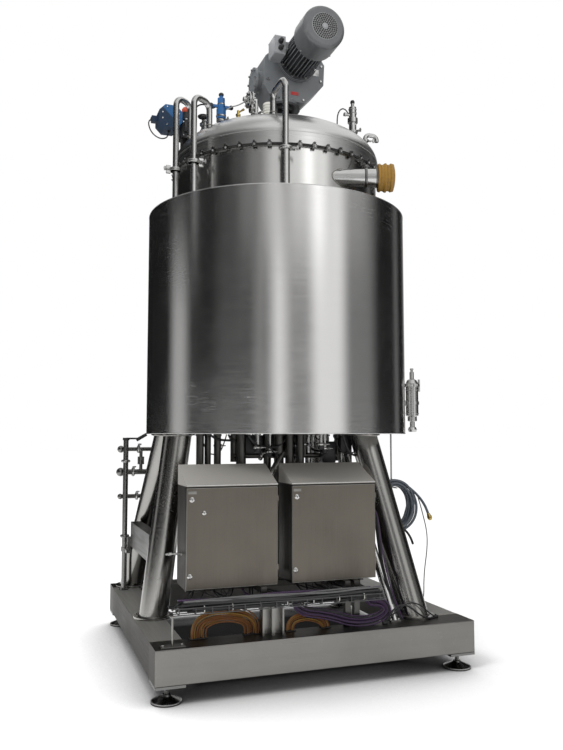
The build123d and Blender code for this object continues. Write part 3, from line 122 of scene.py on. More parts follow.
def turned(profile: list[tuple[float, float]], origin: Point, axis: Point = UP, sides: int = 32) -> Array:
    """A surface of revolution: point(i, a) = origin + h_i axis + r_i (cos a side + sin a front).

    Args:
        profile: radius and height pairs from one end to the other.
        origin: the place of height 0.
        axis: direction of the heights.
        sides: number of points round the axis.

    Returns:
        Grid of rings, shape (pairs, sides, 3).
    """
    radius, height = np.array(profile, float).T
    side, front, along = square_frame(axis)
    ring = circle(1.0, sides)
    spread = ring[:, :1] * side + ring[:, 1:] * front
    return np.array(origin) + height[:, None, None] * along + radius[:, None, None] * spread[None]


def rounded(width: float, depth: float, edge: float, steps: int = 3) -> Array:
    """A rectangle with round corners: corner centre + e (cos a, sin a), a quarter turn each.

    Args:
        width: size along the first axis.
        depth: size along the second axis.
        edge: corner radius e.
        steps: points in each corner.

    Returns:
        Closed outline, shape (4 steps, 2).
    """
    edge = min(edge, 0.49 * width, 0.49 * depth)
    quarter = np.arange(4)[:, None] * np.pi / 2 + np.linspace(0, np.pi / 2, steps)[None]
    signs = np.array([(1, 1), (-1, 1), (-1, -1), (1, -1)], float)
    centre = signs * np.array([width / 2 - edge, depth / 2 - edge])
    arc = edge * np.stack([np.cos(quarter), np.sin(quarter)], axis=-1)
    return (centre[:, None, :] + arc).reshape(-1, 2)


def block(centre: Point, size: Point, edge: float, axis: Point = UP) -> Array:
    """A rounded block: round-cornered outlines stacked along an axis, drawn in at both ends.

    The outline at inset i has size (w - 2i, d - 2i), and i falls from e to 0 as
    e (1 - sin t) while the height rises from the end by e (1 - cos t).

    Args:
        centre: middle of the block.
        size: width and depth square to the axis, and height along it.
        edge: edge radius e.
        axis: direction of the height.

    Returns:
        Grid of rings, shape (stations, around, 3).
    """
    side, front, along = square_frame(axis)
    turn = np.linspace(0, np.pi / 2, 3)
    inset = edge * (1 - np.sin(turn))
    height = edge * (1 - np.cos(turn)) - size[2] / 2
    inset = np.concatenate([inset, inset[::-1]])
    height = np.concatenate([height, -height[::-1]])
    rings = [rounded(size[0] - 2 * i, size[1] - 2 * i, max(edge - i, 0.15 * edge)) for i in inset]
    outline = np.array(rings)
    level = outline[..., :1] * side + outline[..., 1:] * front
    return np.array(centre) + height[:, None, None] * along + level


def path_frames(line: Array, closed: bool = False) -> tuple[Array, Array]:
    """Two directions square to a path at each of its points.

    The tangent is the central difference. The side is tangent x n, where n is the direction
    that the path spreads in least, and the top is side x tangent.

    Args:
        line: points of the path.
        closed: whether the last point joins the first.

    Returns:
        Side and top directions, one row a point.
    """
    if closed:
        tangent = np.roll(line, -1, axis=0) - np.roll(line, 1, axis=0)
    else:
        tangent = np.gradient(line, axis=0)
    tangent = unit(tangent)
    normal = np.linalg.svd(line - line.mean(axis=0))[2][-1]
    side = unit(np.cross(tangent, normal))
    return side, np.cross(side, tangent)


def carried(line: Array, outline: Array, closed: bool = False) -> Array:
    """A profile carried along a path: point(i, j) = p_i + u_j side_i + v_j top_i.

    Args:
        line: points p of the path.
        outline: closed profile (u, v), one for all stations or one for each.
        closed: whether the path joins up.

    Returns:
        Grid of rings, shape (path points, profile points, 3).
    """
    side, top = path_frames(line, closed)
    outline = np.broadcast_to(outline, (len(line), *outline.shape[-2:]))
    return line[:, None] + outline[..., :1] * side[:, None] + outline[..., 1:] * top[:, None]


def ring_line(
    centre: Point, radius: float, axis: Point = UP, points: int = 64, start: float = 0.0,
) -> Array:
    """A circle in space: c + r (cos a side + sin a front)."""
    side, front, _ = square_frame(axis)
    flat = circle(radius, points, start)
    return np.array(centre) + flat[:, :1] * side + flat[:, 1:] * front


def band(inner: float, outer: float, height: float, slope: float = 0.002) -> list[tuple[float, float]]:
    """Profile of a raised band: radius and height pairs that slope up, run level and slope down."""
    return [(inner, 0.0), (outer, slope), (outer, height - slope), (inner, height)]


def points_of(x: Array | float, y: Array | float, z: Array | float) -> Array:
    """Points from their coordinates, where one number stands for all of them."""
    return np.column_stack(np.broadcast_arrays(x, y, z))


def copies(grid: Array, places: Array, turns: Array | None = None) -> Array:
    """The same grid at many places: copy k = R_k grid + place_k.

    Args:
        grid: rings round the local origin, shape (stations, around, 3).
        places: one place a copy.
        turns: one rotation matrix a copy, or none.

    Returns:
        All copies, shape (copies, stations, around, 3).
    """
    if turns is None:
        turned_grids = np.broadcast_to(grid, (len(places), *grid.shape))
    else:
        turned_grids = np.einsum("kab,sjb->ksja", turns, grid)
    return turned_grids + np.asarray(places)[:, None, None, :]


def turns_about_z(angles: Array) -> Array:
    """Rotation matrices about the vertical, one an angle."""
    cosine, sine = np.cos(angles), np.sin(angles)
    zero, one = np.zeros_like(angles), np.ones_like(angles)
    rows = [cosine, -sine, zero, sine, cosine, zero, zero, zero, one]
    return np.stack(rows, axis=-1).reshape(-1, 3, 3)


def turns_about_y(angles: Array) -> Array:
    """Rotation matrices about the Y axis, one an angle."""
    cosine, sine = np.cos(angles), np.sin(angles)
    zero, one = np.zeros_like(angles), np.ones_like(angles)
    rows = [cosine, zero, sine, zero, one, zero, -sine, zero, cosine]
    return np.stack(rows, axis=-1).reshape(-1, 3, 3)


def lid_height(x: float, y: float) -> float:
    """Height of the lid's crown in plan: z = spring + rise sqrt(1 - (r / R)^2)."""
    reach = np.hypot(x - AXIS[0], y - AXIS[1]) / LID_RADIUS
    return float(LID_SPRING + LID_RISE * np.sqrt(max(1 - reach**2, 0.0)))


def nurbs_line(route: Array, resolution: int = 8) -> Array:
    """Points read from the order 3 NURBS spline that has a route as its control points.

    Args:
        route: control points.
        resolution: points for each stretch between two control points.

    Returns:
        Points along the spline, shape (n, 3).
    """
    holder = linked("route", spline_data("route", route, resolution))
    mesh = bpy.data.meshes.new_from_object(holder)
    line = np.empty(len(mesh.vertices) * 3)
    mesh.vertices.foreach_get("co", line)
    data = holder.data
    bpy.data.objects.remove(holder)
    bpy.data.curves.remove(data)
    bpy.data.meshes.remove(mesh)
    return line.reshape(-1, 3)


def spline_data(name: str, route: Array, resolution: int = 8) -> bpy.types.Curve:
    """Curve data with one open NURBS spline of order 3 that reaches its end points.

    Args:
        name: name of the data.
        route: control points.
        resolution: points for each stretch.

    Returns:
        The curve data, with no bevel.
    """
    data = bpy.data.curves.new(name, "CURVE")
    data.dimensions = "3D"
    data.resolution_u = resolution
    spline = data.splines.new("NURBS")
    route = np.asarray(route, float)
    spline.points.add(len(route) - 1)
    spline.points.foreach_set("co", np.column_stack([route, np.ones(len(route))]).ravel())
    spline.order_u = 3
    spline.use_endpoint_u = True
    return data


class Skin:
    """Surfaces gathered into one mesh, each closed and facing outwards."""

    def __init__(self) -> None:
        """Start with no surface."""
        self.points: list[Array] = []
        self.faces: list[Array] = []
        self.count = 0

    def add(self, grid: Array, joined: bool = False) -> "Skin":
        """Add rings of points as a closed tube, capped unless its ends are joined.

        Four-sided faces join ring i to ring i + 1. The faces are turned round where the
        enclosed volume, the sum of a . (b x c) / 6 over the triangles, is negative.

        Args:
            grid: rings, shape (stations, around, 3), or several such grids.
            joined: whether the last ring joins the first.

        Returns:
            This skin.
        """
        grid = grid if grid.ndim == 4 else grid[None]
        number, rows, columns, _ = grid.shape
        index = np.arange(rows * columns).reshape(rows, columns)
        ahead = np.roll(index, -1, axis=0) if joined else index[1:]
        here = index if joined else index[:-1]
        quads = np.stack([here, np.roll(here, -1, 1), np.roll(ahead, -1, 1), ahead], -1).reshape(-1, 4)
        flat = grid[0].reshape(-1, 3) - grid[0].reshape(-1, 3).mean(axis=0)
        first, second, third, fourth = (flat[quads[:, k]] for k in range(4))
        volume = np.einsum("ij,ij->", first, np.cross(second, third))
        volume += np.einsum("ij,ij->", first, np.cross(third, fourth))
        groups = [quads]
        if not joined:
            groups += [index[0][::-1][None], index[-1][None]]
            volume += sum(self._cap_volume(flat[cap[0]]) for cap in groups[1:])
        if volume < 0:
            groups = [group[:, ::-1] for group in groups]
        shift = np.arange(number)[:, None, None] * rows * columns + self.count
        for group in groups:
            self.faces.append((group[None] + shift).reshape(-1, group.shape[1]))
        self.points.append(grid.reshape(-1, 3))
        self.count += number * rows * columns
        return self

    def turn(
        self, profile: list[tuple[float, float]], origin: Point, axis: Point = UP, sides: int = 32,
    ) -> "Skin":
        """Add a surface of revolution."""
        return self.add(turned(profile, origin, axis, sides))

    def block(self, centre: Point, size: Point, edge: float, axis: Point = UP) -> "Skin":
        """Add a rounded block."""
        return self.add(block(centre, size, edge, axis))

    def tube(self, line: Array, outline: Array) -> "Skin":
        """Add an outline carried along an open line, capped at both ends."""
        return self.add(carried(line, outline))

    def ring(self, line: Array, outline: Array) -> "Skin":
        """Add an outline carried round a line whose last point joins its first."""
        return self.add(carried(line, outline, closed=True), joined=True)

    @staticmethod
    def _cap_volume(corners: Array) -> float:
        """Six times the volume between the middle and a flat cap, as a fan of triangles."""
        hub = corners.mean(axis=0)
        return float(np.sum(hub * np.cross(corners, np.roll(corners, -1, axis=0))))

    def piece(
        self, name: str, finish: "Finish", body: str = PLANT, sharp: float = 38.0,
    ) -> bpy.types.Object:
        """Make the object: it sits at the origin and rides on its body.

        Args:
            name: name of the piece.
            finish: its finish.
            body: body that it moves with.
            sharp: faces that meet at more than this many degrees keep a sharp edge.

        Returns:
            The new object.
        """
        mesh = bpy.data.meshes.new(name)
        points = np.concatenate(self.points).astype(np.float32)
        corners = np.concatenate([group.ravel() for group in self.faces]).astype(np.int32)
        sizes = np.concatenate([np.full(len(group), group.shape[1]) for group in self.faces])
        starts = np.concatenate([[0], np.cumsum(sizes)[:-1]]).astype(np.int32)
        mesh.vertices.add(len(points))
        mesh.vertices.foreach_set("co", points.ravel())
        mesh.loops.add(len(corners))
        mesh.loops.foreach_set("vertex_index", corners)
        mesh.polygons.add(len(sizes))
        mesh.polygons.foreach_set("loop_start", starts)
        mesh.update(calc_edges=True)
        mesh.validate()
        mesh.shade_smooth()
        mesh.set_sharp_from_angle(angle=np.radians(sharp))
        mesh.materials.append(finish.material())
        piece = linked(name, mesh)
        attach(piece, body)
        log.info("%s: %d faces on %s", name, len(sizes), body)
        return piece


# Finishes
class Grain(Enum):
    """Which way a brushed surface's lines run."""

    UPRIGHT = "upright"
    LEVEL = "level"
    ALONG_X = "along x"
    ALONG_Y = "along y"
    SPUN = "spun"
    NONE = "none"


GRAIN_SCALES: dict[Grain, Point] = {
    Grain.UPRIGHT: (1.0, 1.0, 0.012),
    Grain.LEVEL: (0.02, 0.02, 1.0),
    Grain.ALONG_X: (0.012, 1.0, 1.0),
    Grain.ALONG_Y: (1.0, 0.012, 1.0),
    Grain.SPUN: (1.0, 0.01, 1.0),
    Grain.NONE: (1.0, 1.0, 1.0),
}

STAIN_SHADE = 0.72
SCUFF_SHADE = 1.18
SCUFF_SCALE = 38.0
WIDE_GRAIN = 0.09
GRAIN_DEPTH = 0.0006
GRIT_DEPTH = 0.0008
SMEAR_DEPTH = 0.0003
BROAD_SCALE = 7.0
DUST_SCALE = 23.0
DARK_SHADE = 0.6
PALE_SHADE = 1.5


class Sheet:
    """One material's nodes, with short calls to add and join them."""

    def __init__(self, name: str) -> None:
        """Start a material with its output and shader.

        Args:
            name: name of the material.
        """
        self.material = bpy.data.materials.new(name)
        self.material.use_nodes = True
        self.tree = self.material.node_tree
        self.tree.nodes.clear()
        self.shader = self.node("ShaderNodeBsdfPrincipled")
        output = self.node("ShaderNodeOutputMaterial")
        self.join(self.shader.outputs["BSDF"], output.inputs["Surface"])
        self.place = self.node("ShaderNodeTexCoord").outputs["Object"]

    def node(self, kind: str, **settings: object) -> bpy.types.Node:
        """Add a node and set its properties."""
        made = self.tree.nodes.new(kind)
        for key, value in settings.items():
            setattr(made, key, value)
        return made

    def join(self, start: bpy.types.NodeSocket, end: bpy.types.NodeSocket) -> None:
        """Link two sockets."""
        self.tree.links.new(start, end)

    def stretched(self, place: bpy.types.NodeSocket, scale: Point) -> bpy.types.NodeSocket:
        """Coordinates times a scale for each axis."""
        mapping = self.node("ShaderNodeMapping")
        mapping.inputs["Scale"].default_value = scale
        self.join(place, mapping.inputs["Vector"])
        return mapping.outputs["Vector"]

    def parts(self) -> bpy.types.bpy_prop_collection:
        """The object's coordinates as the sockets X, Y and Z."""
        made = self.node("ShaderNodeSeparateXYZ")
        self.join(self.place, made.inputs[0])
        return made.outputs

    def reach(self, middle: Point, across: Point) -> bpy.types.NodeSocket:
        """Distance from an axis through a middle: |(place - middle) x across|, axis by axis."""
        move = self.node("ShaderNodeVectorMath", operation="SUBTRACT")
        move.inputs[1].default_value = middle
        self.join(self.place, move.inputs[0])
        flat = self.node("ShaderNodeVectorMath", operation="MULTIPLY")
        flat.inputs[1].default_value = across
        self.join(move.outputs[0], flat.inputs[0])
        length = self.node("ShaderNodeVectorMath", operation="LENGTH")
        self.join(flat.outputs[0], length.inputs[0])
        return length.outputs["Value"]

    def spun(self) -> bpy.types.NodeSocket:
        """Coordinates (distance from the vessel's axis, y, z), for lines that run round it."""
        reach = self.reach((*AXIS, 0.0), (1.0, 1.0, 0.0))
        parts = self.parts()
        joined = self.node("ShaderNodeCombineXYZ")
        self.join(reach, joined.inputs["X"])
        self.join(parts["Y"], joined.inputs["Y"])
        self.join(parts["Z"], joined.inputs["Z"])
        return joined.outputs[0]

    def noise(
        self, place: bpy.types.NodeSocket, scale: float, detail: float = 3.0, rough: float = 0.55,
    ) -> bpy.types.NodeSocket:
        """Noise of a scale at a place, from 0 to 1."""
        made = self.node("ShaderNodeTexNoise")
        made.inputs["Scale"].default_value = scale
        made.inputs["Detail"].default_value = detail
        made.inputs["Roughness"].default_value = rough
        self.join(place, made.inputs["Vector"])
        return made.outputs["Fac"]

    def ranged(
        self, value: bpy.types.NodeSocket, low: float, high: float, start: float = 0.3, end: float = 0.7,
    ) -> bpy.types.NodeSocket:
        """A value mapped from start..end to low..high, and held at both ends."""
        made = self.node("ShaderNodeMapRange")
        self.join(value, made.inputs["Value"])
        made.inputs["From Min"].default_value = start
        made.inputs["From Max"].default_value = end
        made.inputs["To Min"].default_value = low
        made.inputs["To Max"].default_value = high
        return made.outputs["Result"]

    def mixed(self, share: bpy.types.NodeSocket, first: object, second: object) -> bpy.types.NodeSocket:
        """Two colours or colour sockets mixed by a share."""
        made = self.node("ShaderNodeMix", data_type="RGBA")
        self.join(share, made.inputs[0])
        for number, value in ((6, first), (7, second)):
            if isinstance(value, bpy.types.NodeSocket):
                self.join(value, made.inputs[number])
            else:
                made.inputs[number].default_value = (*value, 1.0)
        return made.outputs[2]

    def worked(self, operation: str, *values: bpy.types.NodeSocket) -> bpy.types.NodeSocket:
        """One step of arithmetic on one value or two."""
        made = self.node("ShaderNodeMath", operation=operation)
        for number, value in enumerate(values):
            self.join(value, made.inputs[number])
        return made.outputs[0]

    def summed(self, first: bpy.types.NodeSocket, second: bpy.types.NodeSocket) -> bpy.types.NodeSocket:
        """The sum of two values."""
        return self.worked("ADD", first, second)

    def bump(self, height: bpy.types.NodeSocket, strength: float, depth: float) -> None:
        """Raise the surface by a height of the given depth in metres."""
        made = self.node("ShaderNodeBump")
        made.inputs["Strength"].default_value = strength
        made.inputs["Distance"].default_value = depth
        self.join(height, made.inputs["Height"])
        self.join(made.outputs["Normal"], self.shader.inputs["Normal"])

    def paint(self, colour: bpy.types.NodeSocket, roughness: bpy.types.NodeSocket) -> None:
        """Link the colour and the roughness to the shader."""
        self.join(colour, self.shader.inputs["Base Color"])
        self.join(roughness, self.shader.inputs["Roughness"])


def shaded(colour: Colour, factor: float) -> Colour:
    """A colour times a factor, held at 1."""
    red, green, blue = (min(1.0, part * factor) for part in colour)
    return red, green, blue


@dataclass(frozen=True)
class Finish:
    """A named finish that stands for one of the record's material slots."""

    name: str
    slot: str

    def build(self) -> bpy.types.Material:
        """Make the material."""
        raise NotImplementedError

    def material(self) -> bpy.types.Material:
        """The material of this name, made at its first use."""
        return bpy.data.materials.get(self.name) or self.build()


@dataclass(frozen=True)
class Metal(Finish):
    """Bare metal with a brushed grain, soft stains, weathered tone and small scuffs."""

    tint: Colour = (0.6, 0.6, 0.58)
    roughness: float = 0.28
    grain: Grain = Grain.UPRIGHT
    grain_scale: float = 260.0
    contrast: float = 0.10
    stain: float = 0.12
    stain_scale: float = 2.4
    relief: float = 0.02
    upright_blur: float = 0.0
    scuff: float = 0.35
    edge: float = 1.0

    def tone(self, sheet: Sheet, marked: bpy.types.NodeSocket) -> bpy.types.NodeSocket:
        """The stained metal's colour, which a finish with painted roof light changes."""
        return marked

    def build(self) -> bpy.types.Material:
        """Mix the tint by the grain and the stains, and roughen and raise it by the grain.

        The upright blur spreads reflections up and down, as lines brushed round a shell do.
        """
        sheet = Sheet(self.name)
        sheet.shader.inputs["Metallic"].default_value = 1.0
        sheet.shader.inputs["Specular Tint"].default_value = (self.edge, self.edge, self.edge, 1.0)
        if self.upright_blur:
            sheet.shader.inputs["Anisotropic"].default_value = self.upright_blur
            upright = sheet.node("ShaderNodeCombineXYZ")
            upright.inputs["Z"].default_value = 1.0
            sheet.join(upright.outputs[0], sheet.shader.inputs["Tangent"])
        place = sheet.spun() if self.grain is Grain.SPUN else sheet.place
        place = sheet.stretched(place, GRAIN_SCALES[self.grain])
        lines = sheet.noise(place, self.grain_scale, 2.0)
        wide = sheet.noise(place, self.grain_scale * WIDE_GRAIN, 3.0)
        stains = sheet.noise(sheet.place, self.stain_scale, 5.0, 0.6)
        scuffs = sheet.noise(sheet.place, SCUFF_SCALE, 4.0, 0.7)
        brushed = sheet.mixed(
            lines, shaded(self.tint, 1 - self.contrast), shaded(self.tint, 1 + self.contrast),
        )
        toned = sheet.mixed(
            sheet.ranged(wide, 0.0, 0.6), brushed, shaded(self.tint, 1 - 1.2 * self.contrast),
        )
        marked = sheet.mixed(
            sheet.ranged(stains, 0.0, self.stain * 3), toned, shaded(self.tint, STAIN_SHADE),
        )
        worn = sheet.mixed(
            sheet.ranged(scuffs, 0.0, self.scuff, 0.62, 0.74), marked, shaded(self.tint, SCUFF_SHADE),
        )
        spread = 0.22 * self.roughness
        rough = sheet.summed(
            sheet.ranged(lines, self.roughness - spread, self.roughness + spread),
            sheet.ranged(stains, 0.0, 0.3 * self.roughness, 0.45, 0.7),
        )
        sheet.paint(self.tone(sheet, worn), rough)
        sheet.bump(lines, self.relief, GRAIN_DEPTH)
        return sheet.material


@dataclass(frozen=True)
class RoofedMetal(Metal):
    """Steel with painted light: its top or sloping roof, above one height, is painted lighter than its
    sides, for the light that falls on it.
    """

    roof_level: float = 1.196
    painted_roof_light: Colour = (0.5, 0.5, 0.5)
    roof_metal: float = 0.45

    def tone(self, sheet: Sheet, marked: bpy.types.NodeSocket) -> bpy.types.NodeSocket:
        """The painted roof light above the roof level, with the grain's own changes below it."""
        height = sheet.parts()["Z"]
        # The share marks the roof, whose colour is painted lighter than the sides for the light that falls
        # on it.
        share = sheet.ranged(height, 0.0, 1.0, self.roof_level - 0.002, self.roof_level + 0.002)
        sheet.join(sheet.ranged(share, 1.0, self.roof_metal, 0.0, 1.0), sheet.shader.inputs["Metallic"])
        return sheet.mixed(share, marked, self.painted_roof_light)


@dataclass(frozen=True)
class Coating(Finish):
    """Paint, plastic or rubber with soft tone changes, fine relief and dust in noisy patches."""

    colour: Colour = (0.1, 0.1, 0.1)
    roughness: float = 0.45
    contrast: float = 0.18
    grit_scale: float = 420.0
    relief: float = 0.12
    coat: float = 0.0
    dust: Colour = (0.32, 0.31, 0.29)
    dust_share: float = 0.10

    def tone(self, sheet: Sheet) -> object:
        """The colour below the dust and wear, as a colour or a socket."""
        return self.colour

    def build(self) -> bpy.types.Material:
        """Mix the colour by two noises, and roughen and raise it by a fine one."""
        sheet = Sheet(self.name)
        sheet.shader.inputs["Coat Weight"].default_value = self.coat
        broad = sheet.noise(sheet.place, BROAD_SCALE, 4.0, 0.6)
        fine = sheet.noise(sheet.place, self.grit_scale, 2.0)
        dusty = sheet.noise(sheet.place, DUST_SCALE, 5.0, 0.65)
        tone = self.tone(sheet)
        darker = sheet.mixed(
            sheet.ranged(broad, 0.0, self.contrast * 2), tone, shaded(self.colour, DARK_SHADE),
        )
        lighter = sheet.mixed(
            sheet.ranged(fine, 0.0, self.contrast), darker, shaded(self.colour, PALE_SHADE),
        )
        worn = sheet.mixed(sheet.ranged(dusty, 0.0, self.dust_share, 0.5, 0.75), lighter, self.dust)
        rough = sheet.summed(
            sheet.ranged(fine, 0.85 * self.roughness, 1.1 * self.roughness),
            sheet.ranged(dusty, 0.0, 0.15, 0.5, 0.75),
        )
        sheet.paint(worn, rough)
        sheet.bump(sheet.summed(fine, broad), self.relief, GRIT_DEPTH)
        return sheet.material


@dataclass(frozen=True)
class SplitCoating(Coating):
    """A plastic moulded in two colours that meet at a plane through the piece."""

    second: Colour = (0.0, 0.0, 0.0)
    facing: Point = (1.0, 0.0, 1.0)
    level: float = 0.0
    blur: float = 0.004

    def tone(self, sheet: Sheet) -> object:
        """The first colour where place . facing is above the level, and else the second."""
        reach = sheet.node("ShaderNodeVectorMath", operation="DOT_PRODUCT")
        reach.inputs[1].default_value = self.facing
        sheet.join(sheet.place, reach.inputs[0])
        share = sheet.ranged(
            reach.outputs["Value"], 0.0, 1.0, self.level - self.blur, self.level + self.blur,
        )
        return sheet.mixed(share, self.second, self.colour)


@dataclass(frozen=True)
class FinnedCoating(Coating):
    """Paint on a finned motor frame, with a painted highlight on the fin tips and painted shade between
    them and at cross cuts.
    """

    painted_tip_highlight: Colour = (0.2, 0.2, 0.2)
    middle: tuple[float, float] = (0.0, 0.0)
    tip_radius: float = 0.131
    cut_pitch: float = 0.016

    def tone(self, sheet: Sheet) -> object:
        """The painted tip highlight at more than the tip radius from the axis, broken along it by a sine
        into painted shade at the cross cuts.
        """
        reach = sheet.reach((self.middle[0], 0.0, self.middle[1]), (1.0, 0.0, 1.0))
        share = sheet.ranged(reach, 0.0, 1.0, self.tip_radius - 0.004, self.tip_radius)
        waves = sheet.node("ShaderNodeMath", operation="MULTIPLY")
        waves.inputs[1].default_value = 2 * np.pi / self.cut_pitch
        sheet.join(sheet.parts()["Y"], waves.inputs[0])
        cuts = sheet.worked("SINE", waves.outputs[0])
        tip_highlight_share = sheet.worked("MULTIPLY", share, sheet.ranged(cuts, 0.12, 1.0, -0.2, 0.2))
        return sheet.mixed(tip_highlight_share, self.colour, self.painted_tip_highlight)


@dataclass(frozen=True)
class Glazing(Finish):
    """Clear thick glass with faint smears."""

    tint: Colour = (0.75, 0.85, 0.84)

    def build(self) -> bpy.types.Material:
        """A transmitting shader whose roughness varies with a soft noise."""
        sheet = Sheet(self.name)
        sheet.shader.inputs["Transmission Weight"].default_value = 0.85
        sheet.shader.inputs["IOR"].default_value = 1.46
        smears = sheet.noise(sheet.place, 60.0, 4.0)
        tint = sheet.mixed(sheet.ranged(smears, 0.0, 0.3), self.tint, shaded(self.tint, 0.8))
        sheet.paint(tint, sheet.ranged(smears, 0.03, 0.12))
        sheet.bump(smears, 0.05, SMEAR_DEPTH)
        return sheet.material


class Finishes:
    """All the finishes of the vessel.

    A metal lists its name, slot, tint, roughness, grain, grain scale, contrast, stain, stain
    scale, relief, upright blur and scuff. A coating lists its name, slot, colour, roughness,
    contrast, grit scale, relief and coat.
    """

    skid_front = Metal(
        "skid_steel_level", "skid_steel", (0.235, 0.229, 0.216), 0.34, Grain.ALONG_X, 240.0, 0.07, 0.14,
        1.3, edge=0.40,
    )
    # Painted shade and light: the side beams are tinted darker than the front beams for the shade on that
    # side, and their tops lighter for the light from above.
    skid_side = RoofedMetal(
        "skid_steel_side", "skid_steel", (0.19, 0.185, 0.175), 0.36, Grain.ALONG_Y, 240.0, 0.07, 0.14, 1.3,
        edge=0.40, roof_level=0.307, painted_roof_light=(0.26, 0.255, 0.24), roof_metal=0.55,
    )
    foot = Metal(
        "foot_steel_turned", "foot_steel", (0.20, 0.20, 0.195), 0.22, Grain.NONE, 300.0, 0.10, 0.15, 9.0,
    )
    leg = Metal(
        "leg_steel_polished", "leg_steel", (0.34, 0.335, 0.32), 0.20, Grain.NONE, 90.0, 0.04, 0.08, 2.0,
        0.003, scuff=0.06,
    )
    # Painted shade: a darker copy of the leg steel that stands in for the dark reflection on the cross
    # beam's face.
    beam = Metal(
        "leg_steel_beam", "leg_steel", (0.085, 0.083, 0.079), 0.34, Grain.ALONG_Y, 220.0, 0.06, 0.10, 2.0,
    )
    jacket = Metal(
        "jacket_steel_brushed", "jacket_steel", (0.66, 0.655, 0.645), 0.19, Grain.LEVEL, 420.0, 0.02, 0.03,
        1.1, 0.002, 0.80, 0.02,
    )
    plate = Metal(
        "jacket_steel_plate", "jacket_steel", (0.22, 0.215, 0.205), 0.34, Grain.NONE, 180.0, 0.08, 0.12,
        2.2,
    )
    shell = Metal(
        "vessel_steel_rolled", "vessel_steel", (0.66, 0.655, 0.64), 0.20, Grain.LEVEL, 420.0, 0.02, 0.03,
        1.3, 0.002, 0.70, 0.02,
    )
    lid = Metal(
        "vessel_steel_spun", "vessel_steel", (0.62, 0.62, 0.61), 0.30, Grain.SPUN, 110.0, 0.05, 0.05, 1.5,
        0.006, scuff=0.04,
    )
    pipe = Metal(
        "pipe_steel_polished", "pipe_steel", (0.56, 0.56, 0.55), 0.22, Grain.NONE, 210.0, 0.06, 0.10, 8.0,
        0.004, scuff=0.10,
    )
    shaded_pipe = Metal(
        "pipe_steel_shaded", "pipe_steel", (0.24, 0.238, 0.23), 0.24, Grain.NONE, 210.0, 0.06, 0.10, 8.0,
    )
    fitting = Metal(
        "pipe_steel_machined", "pipe_steel", (0.56, 0.56, 0.55), 0.24, Grain.NONE, 340.0, 0.12, 0.15, 14.0,
    )
    bead = Metal(
        "pipe_steel_welded", "pipe_steel", (0.40, 0.385, 0.36), 0.38, Grain.NONE, 700.0, 0.2, 0.25, 30.0,
        0.2,
    )
    clamp = Metal(
        "clamp_steel_machined", "clamp_steel", (0.20, 0.20, 0.195), 0.30, Grain.NONE, 300.0, 0.14, 0.2,
        16.0,
    )
    cabinet = Metal(
        "cabinet_steel_brushed", "cabinet_paint", (0.162, 0.146, 0.124), 0.42, Grain.UPRIGHT, 330.0, 0.05,
        0.08, 1.6, 0.008, scuff=0.10,
    )
    # Painted shade and light: the housing's sides are tinted far darker than the doors for their shade, and
    # the roof lighter for the light on it.
    housing = RoofedMetal(
        "cabinet_steel_housing", "cabinet_paint", (0.060, 0.055, 0.048), 0.44, Grain.UPRIGHT, 330.0, 0.05,
        0.08, 1.6, painted_roof_light=(0.40, 0.385, 0.355),
    )
    stand = Metal(
        "pipe_steel_dark", "pipe_steel", (0.10, 0.098, 0.092), 0.34, Grain.UPRIGHT, 300.0, 0.08, 0.1, 3.0,
    )
    wire = Metal(
        "tray_wire_zinc", "tray_wire", (0.105, 0.105, 0.105), 0.34, Grain.NONE, 500.0, 0.2, 0.3, 26.0,
    )
    channel = Metal(
        "tray_wire_channel", "tray_wire", (0.30, 0.295, 0.28), 0.36, Grain.UPRIGHT, 260.0, 0.10, 0.2, 4.0,
    )
    brass = Metal(
        "fitting_brass_turned", "fitting_brass", (0.60, 0.44, 0.15), 0.28, Grain.NONE, 340.0, 0.12, 0.2,
        20.0,
    )
    drive = Coating("drive_paint_grey", "drive_paint", (0.118, 0.126, 0.133), 0.46, 0.10, 520.0, 0.10, 0.15)
    box_grey = Coating(
        "drive_paint_box", "drive_paint", (0.22, 0.225, 0.235), 0.46, 0.08, 520.0, 0.10, 0.15,
    )
    cowl = Coating("drive_paint_cowl", "drive_paint", (0.080, 0.084, 0.087), 0.40, 0.08, 520.0, 0.06, 0.2)
    guard = Coating("drive_paint_guard", "drive_paint", (0.22, 0.225, 0.23), 0.42, 0.08, 520.0, 0.06, 0.2)
    red = Coating("drive_paint_red_plate", "drive_paint", (0.34, 0.022, 0.022), 0.4, 0.15)
